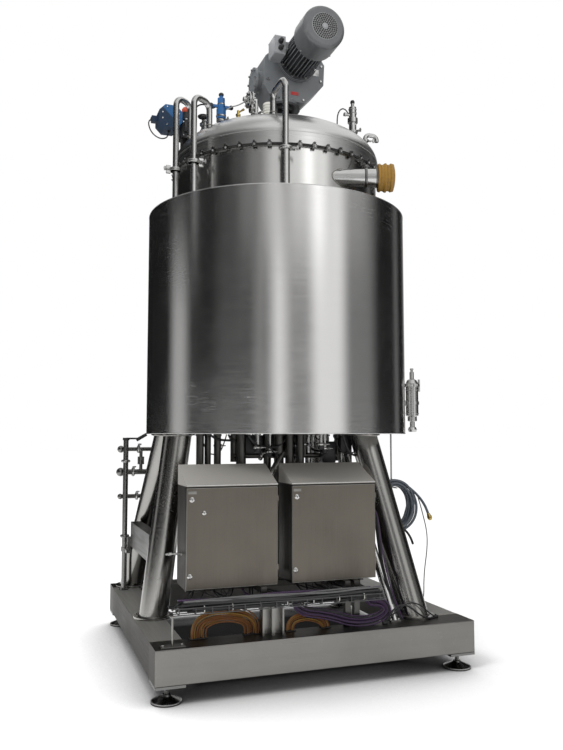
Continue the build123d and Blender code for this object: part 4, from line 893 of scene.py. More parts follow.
    # Painted light and shade: pale fin tips over dark grooves and cross cuts.
    stator = FinnedCoating(
        "motor_dark_fins", "motor_dark", (0.020, 0.021, 0.023), 0.5,
        painted_tip_highlight=(0.30, 0.315, 0.33), middle=(0.162, 4.341), tip_radius=0.128, cut_pitch=0.019,
    )
    lantern = Coating("motor_dark_lantern", "motor_dark", (0.030, 0.031, 0.033), 0.5)
    actuator = SplitCoating(
        "actuator_plastic_blue", "actuator_plastic", (0.008, 0.075, 0.20), 0.60, 0.12, dust_share=0.01,
        second=(0.003, 0.010, 0.022), facing=(0.70, 0.0, 0.72), level=2.215,
    )
    blue = Coating(
        "actuator_plastic_body", "actuator_plastic", (0.010, 0.085, 0.24), 0.44, 0.12, dust_share=0.03,
    )
    black = Coating("valve_dark_plastic", "valve_dark", (0.014, 0.014, 0.015), 0.42, 0.2, dust_share=0.04)
    gasket = Coating("valve_dark_rubber", "valve_dark", (0.018, 0.017, 0.016), 0.7, 0.2, dust_share=0.04)
    signal = Coating("cap_plastic_signal", "cap_plastic", (0.42, 0.055, 0.018), 0.42, 0.15)
    breather = Coating("breather_plastic_white", "breather_plastic", (0.52, 0.51, 0.47), 0.5, 0.1)
    cap = Coating(
        "cap_plastic_tan", "cap_plastic", (0.225, 0.118, 0.010), 0.60, 0.45, 60.0, 0.5, dust_share=0.03,
    )
    hose = Coating("hose_rubber_grey", "hose_rubber", (0.075, 0.090, 0.110), 0.5, 0.2, 300.0, 0.2)
    orange = Coating(
        "cable_orange_rubber", "cable_orange", (0.165, 0.058, 0.008), 0.50, 0.35, 90.0, 0.15,
        dust_share=0.03,
    )
    yellow = Coating(
        "cable_orange_pale", "cable_orange", (0.20, 0.108, 0.010), 0.50, 0.3, 90.0, 0.15, dust_share=0.03,
    )
    violet = Coating(
        "cable_dark_violet", "cable_dark", (0.035, 0.013, 0.052), 0.46, 0.25, 90.0, 0.12, dust_share=0.04,
    )
    cable = Coating(
        "cable_dark_black", "cable_dark", (0.012, 0.012, 0.013), 0.46, 0.25, 90.0, 0.12, dust_share=0.04,
    )
    grey_cable = Coating("cable_dark_grey", "cable_dark", (0.085, 0.085, 0.085), 0.46, 0.25, 90.0, 0.12)
    glass = Glazing("pipe_steel_sight_glass", "pipe_steel")


NODE_FINISHES: dict[str, Finish] = {
    "skid_front_beam": Finishes.skid_front,
    "skid_rear_beam": Finishes.skid_front,
    "skid_left_beam": Finishes.skid_side,
    "skid_right_beam": Finishes.skid_side,
    "jacket_shell": Finishes.jacket,
    "jacket_top_plate": Finishes.plate,
    "jacket_bottom_plate": Finishes.plate,
    "vessel_shell": Finishes.shell,
    "vessel_bottom_head": Finishes.plate,
    "body_flange": Finishes.clamp,
    "lid_head": Finishes.lid,
    "lid_clamps": Finishes.clamp,
    "agitator_lantern": Finishes.lantern,
    "gearbox_housing": Finishes.drive,
    "motor_fan_cowl": Finishes.cowl,
    "motor_terminal_box": Finishes.box_grey,
    "motor_stator": Finishes.stator,
    "valve_block_left": Finishes.black,
    "manifold_valve": Finishes.black,
    "actuator_blue": Finishes.actuator,
    "transmitter_blue": Finishes.blue,
    "ribbed_breather": Finishes.breather,
    "side_nozzle_cap": Finishes.cap,
    "cable_tray": Finishes.wire,
    "tray_posts": Finishes.channel,
    "cabinet_stand": Finishes.stand,
    "cabinet_left_housing": Finishes.housing,
    "cabinet_right_housing": Finishes.housing,
    "bottom_pipework": Finishes.stand,
    "bottom_outlet_valve": Finishes.stand,
    "cabinet_left_door": Finishes.cabinet,
    "cabinet_right_door": Finishes.cabinet,
    "hose_connector": Finishes.brass,
    "hose_coil": Finishes.hose,
    "orange_cable_coil": Finishes.orange,
    "violet_cable_loop": Finishes.violet,
}

PREFIX_FINISHES: dict[str, Finish] = {
    "levelling": Finishes.foot,
    "leg_": Finishes.leg,
    "cross_beam": Finishes.beam,
    "manifold_p": Finishes.shaded_pipe,
}


def dress_nodes(nodes: dict[str, bpy.types.Object]) -> None:
    """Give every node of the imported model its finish, through its material slots.

    Args:
        nodes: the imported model's objects by name.
    """
    for name, node in nodes.items():
        prefixed = [finish for start, finish in PREFIX_FINISHES.items() if name.startswith(start)]
        finish = NODE_FINISHES.get(name) or (prefixed[0] if prefixed else Finishes.pipe)
        for slot in node.material_slots:
            slot.material = finish.material()
    log.info("finishes on %d packed nodes", len(nodes))


# Cords
SWAY = 0.12
LIFT = 0.20
LAST_PHASE = 6.28
CROSSING = 0.34
# An order 3 spline with 16 control points a turn runs at this share of their radius.
SPLINE_SHARE = 0.981


@dataclass
class Cord:
    """A free cord of one real length, along the NURBS line of its route."""

    name: str
    route: list[Point]
    diameter: float
    length: float
    exit: Point
    finish: Finish
    far_end: str = "object"
    stiffness: str = "medium"
    lay: str = "hanging"
    replaced: tuple[str, ...] = ()
    with_pieces: list[bpy.types.Object] = field(default_factory=list)

    def declare(self, piece: bpy.types.Object, path: list[Point] | None = None) -> bpy.types.Object:
        """Args:
            piece: the curve or mesh.
            path: the line that a mesh follows; not used.

        Returns:
            The piece.
        """
        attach(piece, PLANT)
        if self.replaced:
            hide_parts(*self.replaced)
        log.info("%s: cord of %.2f m", self.name, self.length)
        return piece

    def build(self) -> bpy.types.Object:
        """Make the cord as a bevelled curve of one open spline."""
        data = spline_data(self.name, np.array(self.route))
        data.bevel_depth = self.diameter / 2
        data.bevel_resolution = 3
        data.use_fill_caps = True
        data.materials.append(self.finish.material())
        return self.declare(linked(self.name, data))


@dataclass
class Bundle(Cord):
    """Several strands that lie round one line and are built as one piece."""

    strands: int = 9
    strand_radius: float = 0.004
    spread: tuple[float, float] = (0.014, 0.014)
    seed: int = 3
    second_finish: Finish | None = None

    def build(self) -> bpy.types.Object:
        """Carry each strand at its own slowly wandering offset from the line.

        Strand k lies at p(t) + u_k(t) side + v_k(t) top, where u_k and v_k share out the spread
        and sway by the shares SWAY and LIFT of it as sin(w t + g).
        """
        rng = np.random.default_rng(self.seed)
        line = nurbs_line(np.array(self.route))
        side, top = path_frames(line)
        share = np.linspace(0.0, 1.0, len(line))
        skin = Skin()
        outline = circle(self.strand_radius, 8)
        lanes = np.linspace(-1.0, 1.0, self.strands)
        depths = rng.permutation(lanes)
        for lane, depth in zip(lanes, depths):
            sway = SWAY * np.sin(rng.uniform(3.0, 7.0) * share + rng.uniform(0, LAST_PHASE))
            lift = LIFT * np.sin(rng.uniform(3.0, 7.0) * share + rng.uniform(0, LAST_PHASE))
            offset = self.spread[0] * (lane + sway)[:, None] * side + self.spread[1] * (
                depth + lift
            )[:, None] * top
            skin.tube(line + offset, outline)
        piece = skin.piece(self.name, self.finish)
        if self.second_finish is not None:
            piece.data.materials.append(self.second_finish.material())
            faces = len(piece.data.polygons)
            strand = np.arange(faces) * self.strands // faces
            piece.data.polygons.foreach_set("material_index", (strand % 3 == 1).astype(np.int32))
            piece.data.update()
        return self.declare(piece, [tuple(point) for point in line.tolist()])


def coil_route(
    centre: Point, radius: float, strand: float, turns: int, fan: float, points: int = 16,
    start: float = 0.5 * np.pi,
) -> list[Point]:
    """Control points of a hung coil whose turns meet at the top and the bottom and fan out between.

    Turn k has the depth d_k and the radius r + w_k at the top and the bottom, from one of
    seven places of a hexagon with sides of one diameter. At an angle a its radius is less by
    f_k |cos a|^1.5, where f_k steps from 0 to the fan. It crosses to the next turn's place over
    the last third of the turn.

    Args:
        centre: middle of the coil, whose axis is level and points to the back.
        radius: radius at the middle of the bundle.
        strand: pitch between neighbouring strands.
        turns: number of turns.
        fan: how far the narrowest turn draws in at its sides.
        points: control points a turn.
        start: angle of the first point in the upright plane.

    Returns:
        The control points.
    """
    number = np.arange(turns)
    hexagon = np.where(number % 7 > 0, (number % 7) * np.pi / 3 + 0.5, 0.0)
    size = np.where(number % 7 > 0, strand, 0.0)
    order = (number * 4) % turns / max(turns - 1, 1)
    places = np.column_stack([size * np.cos(hexagon), size * np.sin(hexagon), fan * order])
    share = np.arange(turns * points + 1) / points
    turn = np.minimum(share.astype(int), turns - 1)
    blend = np.clip((share - turn - (1 - CROSSING)) / CROSSING, 0.0, 1.0)[:, None]
    offset = places[turn] * (1 - blend) + places[np.minimum(turn + 1, turns - 1)] * blend
    angle = start + share * 2 * np.pi
    reach = (radius + offset[:, 0] - offset[:, 2] * np.abs(np.cos(angle)) ** 1.5) / SPLINE_SHARE
    made = np.column_stack([
        centre[0] + reach * np.cos(angle),
        centre[1] + offset[:, 1] * (1 + 0.4 * np.abs(np.cos(angle))),
        centre[2] + reach * np.sin(angle),
    ])
    return [tuple(point) for point in made.tolist()]


@dataclass
class Cords:
    """Every free cord, cable and hose of the plant."""

    hose_centre: Point = (0.829, -0.330, 0.991)
    hose_radius: float = 0.168
    hose_diameter: float = 0.019
    hose_turns: int = 10
    hose_fan: float = 0.058
    tail: tuple[Point, ...] = (
        (0.952, -0.335, 1.118), (0.985, -0.355, 1.086), (1.007, -0.395, 1.045),
        (1.016, -0.440, 1.002), (1.012, -0.482, 0.962), (1.011, -0.502, 0.939),
    )

    def hose(self, connector: bpy.types.Object) -> None:
        """The coiled hose on its hook, with its tail, its brass end and its spare end.

        Args:
            connector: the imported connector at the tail's end.
        """
        coil = coil_route(
            self.hose_centre, self.hose_radius, self.hose_diameter * 1.02, self.hose_turns, self.hose_fan,
        )
        over = [(self.hose_centre[0] + 0.080, -0.334, 1.150), (0.925, -0.336, 1.138)]
        route = [*coil[:-1], (0.868, -0.331, 1.163), *over, *self.tail]
        Cord(
            "hose_coil_turns", route, diameter=self.hose_diameter, length=10.2, exit=(0.829, -0.330, 1.145),
            finish=Finishes.hose, far_end="connector", lay="coiled", replaced=("hose_coil",),
            with_pieces=[connector],
        ).build()
        Cord(
            "hose_spare_end",
            [
                (0.870, -0.338, 0.838), (0.905, -0.352, 0.815), (0.932, -0.358, 0.780),
                (0.952, -0.360, 0.742), (0.962, -0.360, 0.712),
            ],
            diameter=0.017, length=0.157, exit=(0.870, -0.338, 0.838), finish=Finishes.cable,
            far_end="bare",
        ).build()

    def arches(self) -> None:
        """The orange cables that arch between two deck openings, and the loops beside them."""
        left, right, front = -0.750, -0.419, -0.838
        route = [
            (left, front, DECK), (left - 0.004, front, DECK + 0.045), (left + 0.018, front, DECK + 0.092),
            (left + 0.080, front, DECK + 0.118), (0.5 * (left + right), front, DECK + 0.124),
            (right - 0.070, front, DECK + 0.112), (right - 0.014, front, DECK + 0.080),
            (right + 0.002, front, DECK + 0.040), (right, front, DECK),
        ]
        Bundle(
            "orange_cable_arch", route, diameter=0.080, length=0.50, exit=(left, front, DECK),
            finish=Finishes.orange, replaced=("orange_cable_coil",), strands=15, strand_radius=0.0044,
            spread=(0.042, 0.013), second_finish=Finishes.yellow,
        ).build()
        heap = [
            (-0.178, -0.852, DECK + 0.004), (-0.182, -0.852, DECK + 0.035), (-0.150, -0.852, DECK + 0.072),
            (-0.070, -0.850, DECK + 0.085), (0.010, -0.850, DECK + 0.064), (0.052, -0.852, DECK + 0.030),
            (0.056, -0.852, DECK + 0.004),
        ]
        Bundle(
            "yellow_cable_arch", heap, diameter=0.050, length=0.32, exit=(-0.178, -0.852, DECK + 0.004),
            finish=Finishes.orange, strands=10, strand_radius=0.0042, spread=(0.024, 0.010), seed=5,
            second_finish=Finishes.yellow,
        ).build()
        level = -0.889
        loop = [
            (-0.155, level, 0.505), (-0.150, level, 0.435), (0.060, level, 0.402), (0.225, level, 0.340),
            (0.390, level, 0.340), (0.476, level, 0.392), (0.425, level, 0.450), (0.335, level, 0.450),
            (0.335, level, 0.505),
        ]
        Bundle(
            "violet_cable_drape", loop, diameter=0.056, length=0.84, exit=(-0.155, -0.880, 0.490),
            finish=Finishes.violet, replaced=("violet_cable_loop",), strands=9, strand_radius=0.0050,
            spread=(0.026, 0.010), seed=8, second_finish=Finishes.cable,
        ).build()

    def small(self) -> None:
        """The thin cables that hang free between fittings."""
        Cord(
            "actuator_lead",
            [
                (-0.905, 0.100, 3.822), (-0.925, 0.100, 3.815), (-0.930, 0.100, 3.775),
                (-0.905, 0.100, 3.718), (-0.850, 0.100, 3.682), (-0.795, 0.100, 3.692),
                (-0.780, 0.100, 3.730), (-0.780, 0.100, 3.755),
            ],
            diameter=0.009, length=0.28, exit=(-0.905, 0.100, 3.822), finish=Finishes.cable,
        ).build()
        relief_foot = (0.352, -0.420, lid_height(0.352, -0.420) + 0.004)
        Cord(
            "relief_lead",
            [
                relief_foot, (0.350, -0.420, 3.790), (0.362, -0.420, 3.850), (0.392, -0.420, 3.882),
                (0.425, -0.420, 3.872), (0.440, -0.420, 3.845), (0.451, -0.420, 3.838),
            ],
            diameter=0.009, length=0.22, exit=relief_foot, finish=Finishes.cable,
        ).build()
        Cord(
            "gauge_lead",
            [
                (-0.620, 0.060, 3.880), (-0.600, 0.030, 3.930), (-0.555, -0.040, 3.935),
                (-0.520, -0.110, 3.880), (-0.505, -0.170, 3.850), (-0.480, -0.205, 3.870),
            ],
            diameter=0.011, length=0.36, exit=(-0.628, 0.070, 3.870), finish=Finishes.cable,
        ).build()
        Cord(
            "coil_side_lead",
            [
                (0.993, -0.388, 1.050), (0.990, -0.420, 1.010), (0.988, -0.460, 0.940),
                (1.004, -0.480, 0.840), (1.012, -0.480, 0.757), (1.004, -0.480, 0.660),
                (0.988, -0.480, 0.570), (0.984, -0.470, 0.470), (0.992, -0.455, 0.380),
                (0.990, -0.445, 0.325), (0.985, -0.440, DECK + 0.003),
            ],
            diameter=0.0075, length=0.75, exit=(0.993, -0.388, 1.050), finish=Finishes.grey_cable,
        ).build()
        Bundle(
            "right_cabinet_leads",
            [
                (0.438, -0.735, 1.030), (0.462, -0.745, 1.000), (0.474, -0.752, 0.930),
                (0.486, -0.752, 0.820), (0.505, -0.752, 0.690), (0.535, -0.762, 0.550),
                (0.570, -0.785, 0.420), (0.592, -0.820, 0.345), (0.598, -0.840, DECK + 0.004),
            ],
            diameter=0.030, length=0.76, exit=(0.438, -0.735, 1.030), finish=Finishes.cable, strands=5,
            strand_radius=0.0048, spread=(0.013, 0.006), seed=4, second_finish=Finishes.violet,
        ).build()
        Cord(
            "leg_lead",
            [
                (0.446, -0.905, DECK + 0.012), (0.470, -0.912, 0.360), (0.520, -0.915, 0.415),
                (0.580, -0.912, 0.425), (0.640, -0.910, 0.395), (0.700, -0.906, 0.345),
                (0.760, -0.900, 0.319), (0.815, -0.880, 0.3155), (0.839, -0.866, 0.3155),
            ],
            diameter=0.011, length=0.50, exit=(0.446, -0.905, DECK + 0.012), finish=Finishes.cable,
        ).build()
        Cord(
            "leg_second_lead",
            [
                (0.450, -0.905, DECK + 0.012), (0.480, -0.890, 0.330), (0.545, -0.880, 0.385),
                (0.640, -0.878, 0.430), (0.730, -0.880, 0.400), (0.790, -0.876, 0.340),
                (0.839, -0.866, 0.3155),
            ],
            diameter=0.009, length=0.45, exit=(0.450, -0.905, DECK + 0.012), finish=Finishes.cable,
        ).build()


# Sub-assemblies
@dataclass
class Skid:
    """Weld beads, grommets and foot details of the skid and the legs."""

    corner: tuple[float, float] = (1.034, 1.012)
    beam: float = 0.196
    inset: float = 0.082
    leg_feet: tuple[tuple[float, float], ...] = (
        (-0.902, -0.209), (0.735, -0.765), (-0.880, 0.880), (0.796, 0.729),
    )
    leg_heads: tuple[tuple[float, float], ...] = (
        (-0.753, -0.214), (0.520, -0.450), (-0.700, 0.420), (0.543, 0.514),
    )
    leg_radius: float = 0.095

    def build(self) -> None:
        """Make the beads, rings, threads and grommets."""
        self.seams()
        self.leg_rings()
        self.feet()
        self.deck_fittings()

    def seams(self) -> None:
        """Weld beads where the side beams meet the long beams."""
        skin = Skin()
        outline = circle(0.0035, 8) * np.array([1.0, 0.6])
        for side_x in (-1, 1):
            for side_y in (-1, 1):
                across = np.linspace(self.corner[0] - self.beam + 0.006, self.corner[0] - 0.006, 24)
                seam_y = side_y * (self.corner[1] - self.beam)
                ripple = 0.0004 * np.sin(across * 900)
                line = points_of(side_x * across, seam_y, DECK - 0.0005 + ripple)
                skin.tube(line, outline)
        skin.piece("skid_deck_seams", Finishes.bead)

    def leg_rings(self) -> None:
        """A bead round the foot and head of each leg, an ellipse where the slanted tube ends."""
        skin = Skin()
        for foot, head in zip(self.leg_feet, self.leg_heads):
            slant = np.array([head[0] - foot[0], head[1] - foot[1], JACKET_BOTTOM - DECK])
            for height in (DECK + 0.012, JACKET_BOTTOM - 0.010):
                share = (height - DECK) / slant[2]
                middle = (foot[0] + share * slant[0], foot[1] + share * slant[1])
                flat = circle(self.leg_radius + 0.0015, 56)
                along = np.array([slant[0], slant[1]]) / slant[2]
                lean = 1 + 0.5 * float(along @ along)
                line = points_of(middle[0] + lean * flat[:, 0], middle[1] + lean * flat[:, 1], height)
                skin.ring(line, circle(0.0045, 8))
        skin.piece("leg_weld_rings", Finishes.bead)

    def feet(self) -> None:
        """Threads on the stems, a rubber ring below each pad and its bright rim."""
        threads, rubber, rims = Skin(), Skin(), Skin()
        places = np.array([(a * (self.corner[0] - self.inset), b * (self.corner[1] - self.inset), 0.0)
                           for a in (-1, 1) for b in (-1, 1)])
        height = np.linspace(0.050, 0.076, 27)
        radius = 0.0128 + 0.0010 * np.cos(np.arange(27) * np.pi)
        threads.add(copies(turned(list(zip(radius, height)), ORIGIN, sides=20), places))
        lip = turned([(0.0845, 0.0), (0.0885, 0.001), (0.0885, 0.005), (0.0845, 0.006)], ORIGIN, sides=48)
        rubber.add(copies(lip, places))
        rim = turned(
            [(0.0850, 0.0075), (0.0876, 0.0085), (0.0876, 0.0125), (0.0845, 0.0140)], ORIGIN, sides=48,
        )
        rims.add(copies(rim, places))
        threads.piece("foot_stem_threads", Finishes.fitting)
        rubber.piece("foot_rubber_rings", Finishes.gasket)
        rims.piece("foot_bright_rims", Finishes.fitting)

    def deck_fittings(self) -> None:
        """Grommets at the cables' feet, and the small clamps and screws on the deck."""
        grommets = Skin()
        for x, y, size in ((0.598, -0.840, 0.020), (0.985, -0.440, 0.010)):
            profile = [
                (size * 0.7, 0.0), (size, 0.0005), (size, 0.0045), (size * 0.86, 0.0065),
                (size * 0.7, 0.0065),
            ]
            grommets.turn(profile, (x, y, DECK), sides=24)
        for x, y, width in (
            (-0.750, -0.838, 0.108), (-0.419, -0.838, 0.108), (-0.178, -0.852, 0.066),
            (0.056, -0.852, 0.066),
        ):
            grommets.block((x, y, DECK + 0.003), (width, 0.042, 0.006), 0.0025)
        grommets.piece("deck_grommets", Finishes.gasket)
        clips = Skin()
        for x, y in ((0.446, -0.905), (0.839, -0.863)):
            clips.block((x, y, DECK + 0.009), (0.034, 0.020, 0.018), 0.004)
            clips.turn([(0.006, 0.0), (0.006, 0.004), (0.004, 0.006)], (x, y, DECK + 0.018), sides=6)
        clips.piece("deck_cable_clips", Finishes.black)
        screws = Skin()
        head = turned([(0.0075, 0.0), (0.0075, 0.004), (0.0060, 0.006)], ORIGIN, sides=6)
        places = [(-0.925 + a * 0.055, -0.948, DECK + 0.006) for a in (-1, 1)]
        places += [(0.549 + a * 0.028, -0.840, DECK + 0.008) for a in (-1, 1)]
        post = ring_line((-0.965, 0.735, DECK + 0.008), 0.028, points=4, start=0.7)
        screws.add(copies(head, np.array([*places, *post])))
        screws.piece("deck_screws", Finishes.fitting)


@dataclass
class Jacket:
    """Rims and seams of the jacket and the shell."""

    def build(self) -> None:
        """Roll the bright rims and lay the upright seams at the back."""
        rims = Skin()
        for height in (JACKET_TOP - 0.0025, JACKET_BOTTOM + 0.0030):
            line = ring_line((*AXIS, height), JACKET_RADIUS - 0.0022, points=160)
            rims.ring(line, circle(0.0034, 8))
        rims.piece("jacket_rolled_rims", Finishes.fitting)
        seams = Skin()
        for radius, low, high, turn in ((JACKET_RADIUS, JACKET_BOTTOM + 0.008, JACKET_TOP - 0.008, 1.15),
                                        (SHELL_RADIUS, JACKET_TOP + 0.028, 3.416, 1.25)):
            x, y = AXIS[0] + radius * np.cos(turn), AXIS[1] + radius * np.sin(turn)
            line = points_of(x, y, np.linspace(low, high, 90))
            seams.tube(line, circle(0.0022, 8))
        line = ring_line((*AXIS, JACKET_TOP + 0.0215), SHELL_RADIUS + 0.0012, points=160)
        seams.ring(line, circle(0.0032, 8))
        seams.piece("jacket_weld_seams", Finishes.bead)


@dataclass
class Lid:
    """The ring of clamps, the seal and the seam of the lid."""

    clamp_count: int = 48
    clamp_face: float = 0.7832
    clamp_height: float = 3.426

    def build(self) -> None:
        """Make the seal, the clamp bolts, the clamp hooks and the crown's seam."""
        seal = Skin()
        for height, reach in ((self.clamp_height, 0.7700), (self.clamp_height + 0.0095, 0.7690)):
            line = ring_line((*AXIS, height), reach, points=160)
            seal.ring(line, circle(0.0045, 8))
        seal.piece("lid_seal_ring", Finishes.gasket)
        angles = even_angles(self.clamp_count)
        turns = turns_about_z(angles)
        reach = np.column_stack([np.cos(angles), np.sin(angles), np.zeros_like(angles)])
        middle = np.array([*AXIS, self.clamp_height])
        bolts = Skin()
        head = turned([(0.0085, 0.0), (0.0085, 0.0050), (0.0066, 0.0068)], ORIGIN, RIGHT, sides=6)
        bolts.add(copies(head, middle + self.clamp_face * reach, turns))
        stud = turned([(0.0036, 0.006), (0.0036, 0.0115), (0.0020, 0.0125)], ORIGIN, RIGHT, sides=8)
        bolts.add(copies(stud, middle + self.clamp_face * reach, turns))
        bolts.piece("lid_clamp_bolts", Finishes.fitting)
        hook = block((-0.004, 0.0, 0.0215), (0.020, 0.017, 0.012), 0.003)
        Skin().add(
            copies(hook, middle + self.clamp_face * reach, turns)
        ).piece("lid_clamp_hooks", Finishes.clamp)
        line = ring_line((*AXIS, LID_SPRING), LID_RADIUS + 0.0002, points=160)
        Skin().ring(line, circle(0.0018, 8)).piece("lid_crown_seam", Finishes.lid)


@dataclass
class Drive:
    """Grille, bolts, plugs, plates and glands of the agitator drive."""

    motor: tuple[float, float] = (0.162, 4.341)
    motor_end: float = -0.650
    gear_front: float = -0.090
    cover_face: float = -0.136
    cover_ring: float = 0.140
    stud_face: float = -0.470
    stud_ring: float = 0.1565
    shaft: tuple[float, float] = (0.080, 0.020)
    flange_rings: tuple[tuple[float, float], ...] = ((0.122, 3.848), (0.180, 3.830))
    guard_pitch: float = 0.0145

    def build(self) -> None:
        """Make the drive's small parts."""
        self.grille()
        self.bolts()
        self.plates()

    def grille(self) -> None:
        """A dished guard, dark squares that paint the shade seen through its rings of round holes, and its
        boss.

        Hole k of ring n lies at n pitch (cos a, sin a) from the motor's axis, a = 2 pi k / 6n.
        """
        x, z = self.motor
        profile = [(0.006, 0.0030), (0.060, 0.0028), (0.092, 0.0016), (0.0965, 0.0002), (0.0965, -0.0040)]
        Skin().turn(profile, (x, self.motor_end, z), FRONT, sides=64).piece("fan_guard", Finishes.guard)
        rings = np.arange(2, 7)
        number = np.repeat(rings, 6 * rings)
        step = np.concatenate([np.arange(6 * ring) for ring in rings])
        angle = 2 * np.pi * step / (6 * number)
        reach = number * self.guard_pitch
        rise = 0.0031 - 0.0012 * np.clip((reach - 0.060) / 0.032, 0, 1)
        places = np.column_stack([
            x + reach * np.cos(angle), self.motor_end - rise, z + reach * np.sin(angle),
        ])
        turns = turns_about_y(-angle)
        # Painted shade: dark squares just off the guard stand for the shade seen through its holes.
        half = 0.40 * self.guard_pitch
        slot = np.array([[(-half, 0.0, -half), (half, 0.0, -half), (half, 0.0, half), (-half, 0.0, half)]])
        Skin().add(
            copies(np.concatenate([slot, slot - np.array([0.0, 0.0008, 0.0])]), places, turns)
        ).piece("fan_guard_holes", Finishes.gasket)
        boss = Skin()
        boss.turn(
            [(0.015, 0.002), (0.015, 0.0050), (0.012, 0.0060), (0.003, 0.0065)], (x, self.motor_end, z),
            FRONT, sides=24,
        )
        places = ring_line((x, self.stud_face, z), self.stud_ring, FRONT, 4, 0.78)
        boss.add(copies(block(ORIGIN, (0.012, 0.012, 0.006), 0.002), places))
        boss.piece("fan_guard_boss", Finishes.guard)

    def bolts(self) -> None:
        """Hexagon bolts round the gear unit's front, foot flange and lantern."""
        heads = Skin()
        head = turned([(0.010, 0.0), (0.010, 0.007), (0.008, 0.009)], ORIGIN, FRONT, sides=6)
        middle = (self.motor[0], self.cover_face, self.motor[1])
        heads.add(copies(head, ring_line(middle, self.cover_ring, FRONT, 8, 0.39)))
        corners = [
            (-0.050, 4.060), (0.215, 4.055), (0.360, 4.225), (0.365, 4.345), (-0.070, 4.180),
            (-0.060, 4.350),
        ]
        heads.add(copies(head, np.array([(x, self.gear_front, z) for x, z in corners])))
        foot = [(x, -0.0005 + self.gear_front, 4.045) for x in (0.020, 0.120)]
        heads.add(copies(head, np.array(foot)))
        up = turned([(0.009, 0.0), (0.009, 0.007), (0.007, 0.009)], ORIGIN, sides=6)
        for radius, height in self.flange_rings:
            heads.add(copies(up, ring_line((*self.shaft, height), radius, points=12)))
        heads.piece("drive_bolts", Finishes.fitting)

    def plates(self) -> None:
        """The bare plates, the plugs, the glands and the lifting eye."""
        Skin().block(
            (0.146, self.gear_front - 0.0012, 4.098), (0.062, 0.026, 0.003), 0.0012, FRONT,
        ).piece("gear_red_plate", Finishes.red)
        plate = Skin()
        plate.block((0.300, self.gear_front - 0.0010, 4.290), (0.090, 0.050, 0.0025), 0.0010, FRONT)
        for x in (0.262, 0.338):
            plate.turn(
                [(0.0035, 0.0), (0.0035, 0.002)], (x, self.gear_front - 0.002, 4.290), FRONT, sides=8,
            )
        plate.piece("gear_bare_plate", Finishes.fitting)
        plugs = Skin()
        plug = [(0.016, 0.0), (0.016, 0.006), (0.011, 0.0065), (0.011, 0.014), (0.009, 0.016)]
        for place, axis in (((0.010, self.gear_front, 4.150), FRONT), ((0.160, 0.160, 4.120), BACK),
                            ((0.392, 0.035, 4.330), RIGHT), ((0.200, 0.060, 4.420), UP)):
            plugs.turn(plug, place, axis, sides=6)
        plugs.piece("gear_oil_plugs", Finishes.fitting)
        glands = Skin()
        gland = [
            (0.019, 0.0), (0.019, 0.012), (0.015, 0.014), (0.017, 0.020), (0.015, 0.034), (0.008, 0.038),
        ]
        for z in (4.372, 4.322):
            glands.turn(gland, (-0.041, -0.298, z), FRONT, sides=16)
        glands.turn([(0.020, 0.0), (0.020, 0.008), (0.016, 0.010)], (0.060, -0.040, 4.420), UP, sides=16)
        glands.piece("terminal_glands", Finishes.black)
        cover = Skin()
        cover.block((-0.0825, -0.223, 4.351), (0.132, 0.142, 0.005), 0.002, LEFT)
        screws = turned([(0.005, 0.0), (0.005, 0.003), (0.004, 0.004)], ORIGIN, LEFT, sides=8)
        places = [(-0.0850, -0.223 + a * 0.058, 4.351 + b * 0.054) for a in (-1, 1) for b in (-1, 1)]
        cover.add(copies(screws, np.array(places)))
        cover.piece("terminal_cover", Finishes.box_grey)
        eye = Skin()
        eye.ring(ring_line((0.030, 0.035, 4.449), 0.020, BACK, 32), circle(0.006, 10))
        eye.turn(
            [(0.016, 0.0), (0.016, 0.006), (0.008, 0.010), (0.008, 0.020)], (0.030, 0.035, 4.418), UP,
            sides=20,
        )
        eye.piece("gear_lifting_eye", Finishes.fitting)


def pipe_clamp(skin: Skin, place: Point, axis: Point, radius: float, wing: Point) -> None:
    """Add a two-part pipe clamp with its wing nut.

    Args:
        skin: skin that takes the surfaces.
        place: middle of the joint.
        axis: direction of the pipe.
        radius: radius of the ferrules.
        wing: direction that the wing nut points in.
    """
    clamp = [(radius * 0.86, -0.011), (radius + 0.004, -0.009), (radius + 0.007, -0.004),
             (radius + 0.007, 0.004), (radius + 0.004, 0.009), (radius * 0.86, 0.011)]
    skin.turn(clamp, place, axis, sides=36)
    out = unit(np.array(wing, float))
    root = np.array(place) + out * (radius + 0.004)
    skin.block(tuple(root + out * 0.010), (0.014, 0.014, 0.026), 0.003, wing)
    skin.turn([(0.005, 0.0), (0.005, 0.024), (0.004, 0.026)], tuple(root + out * 0.018), wing, sides=10)
    skin.block(tuple(root + out * 0.036), (0.030, 0.007, 0.014), 0.003, wing)


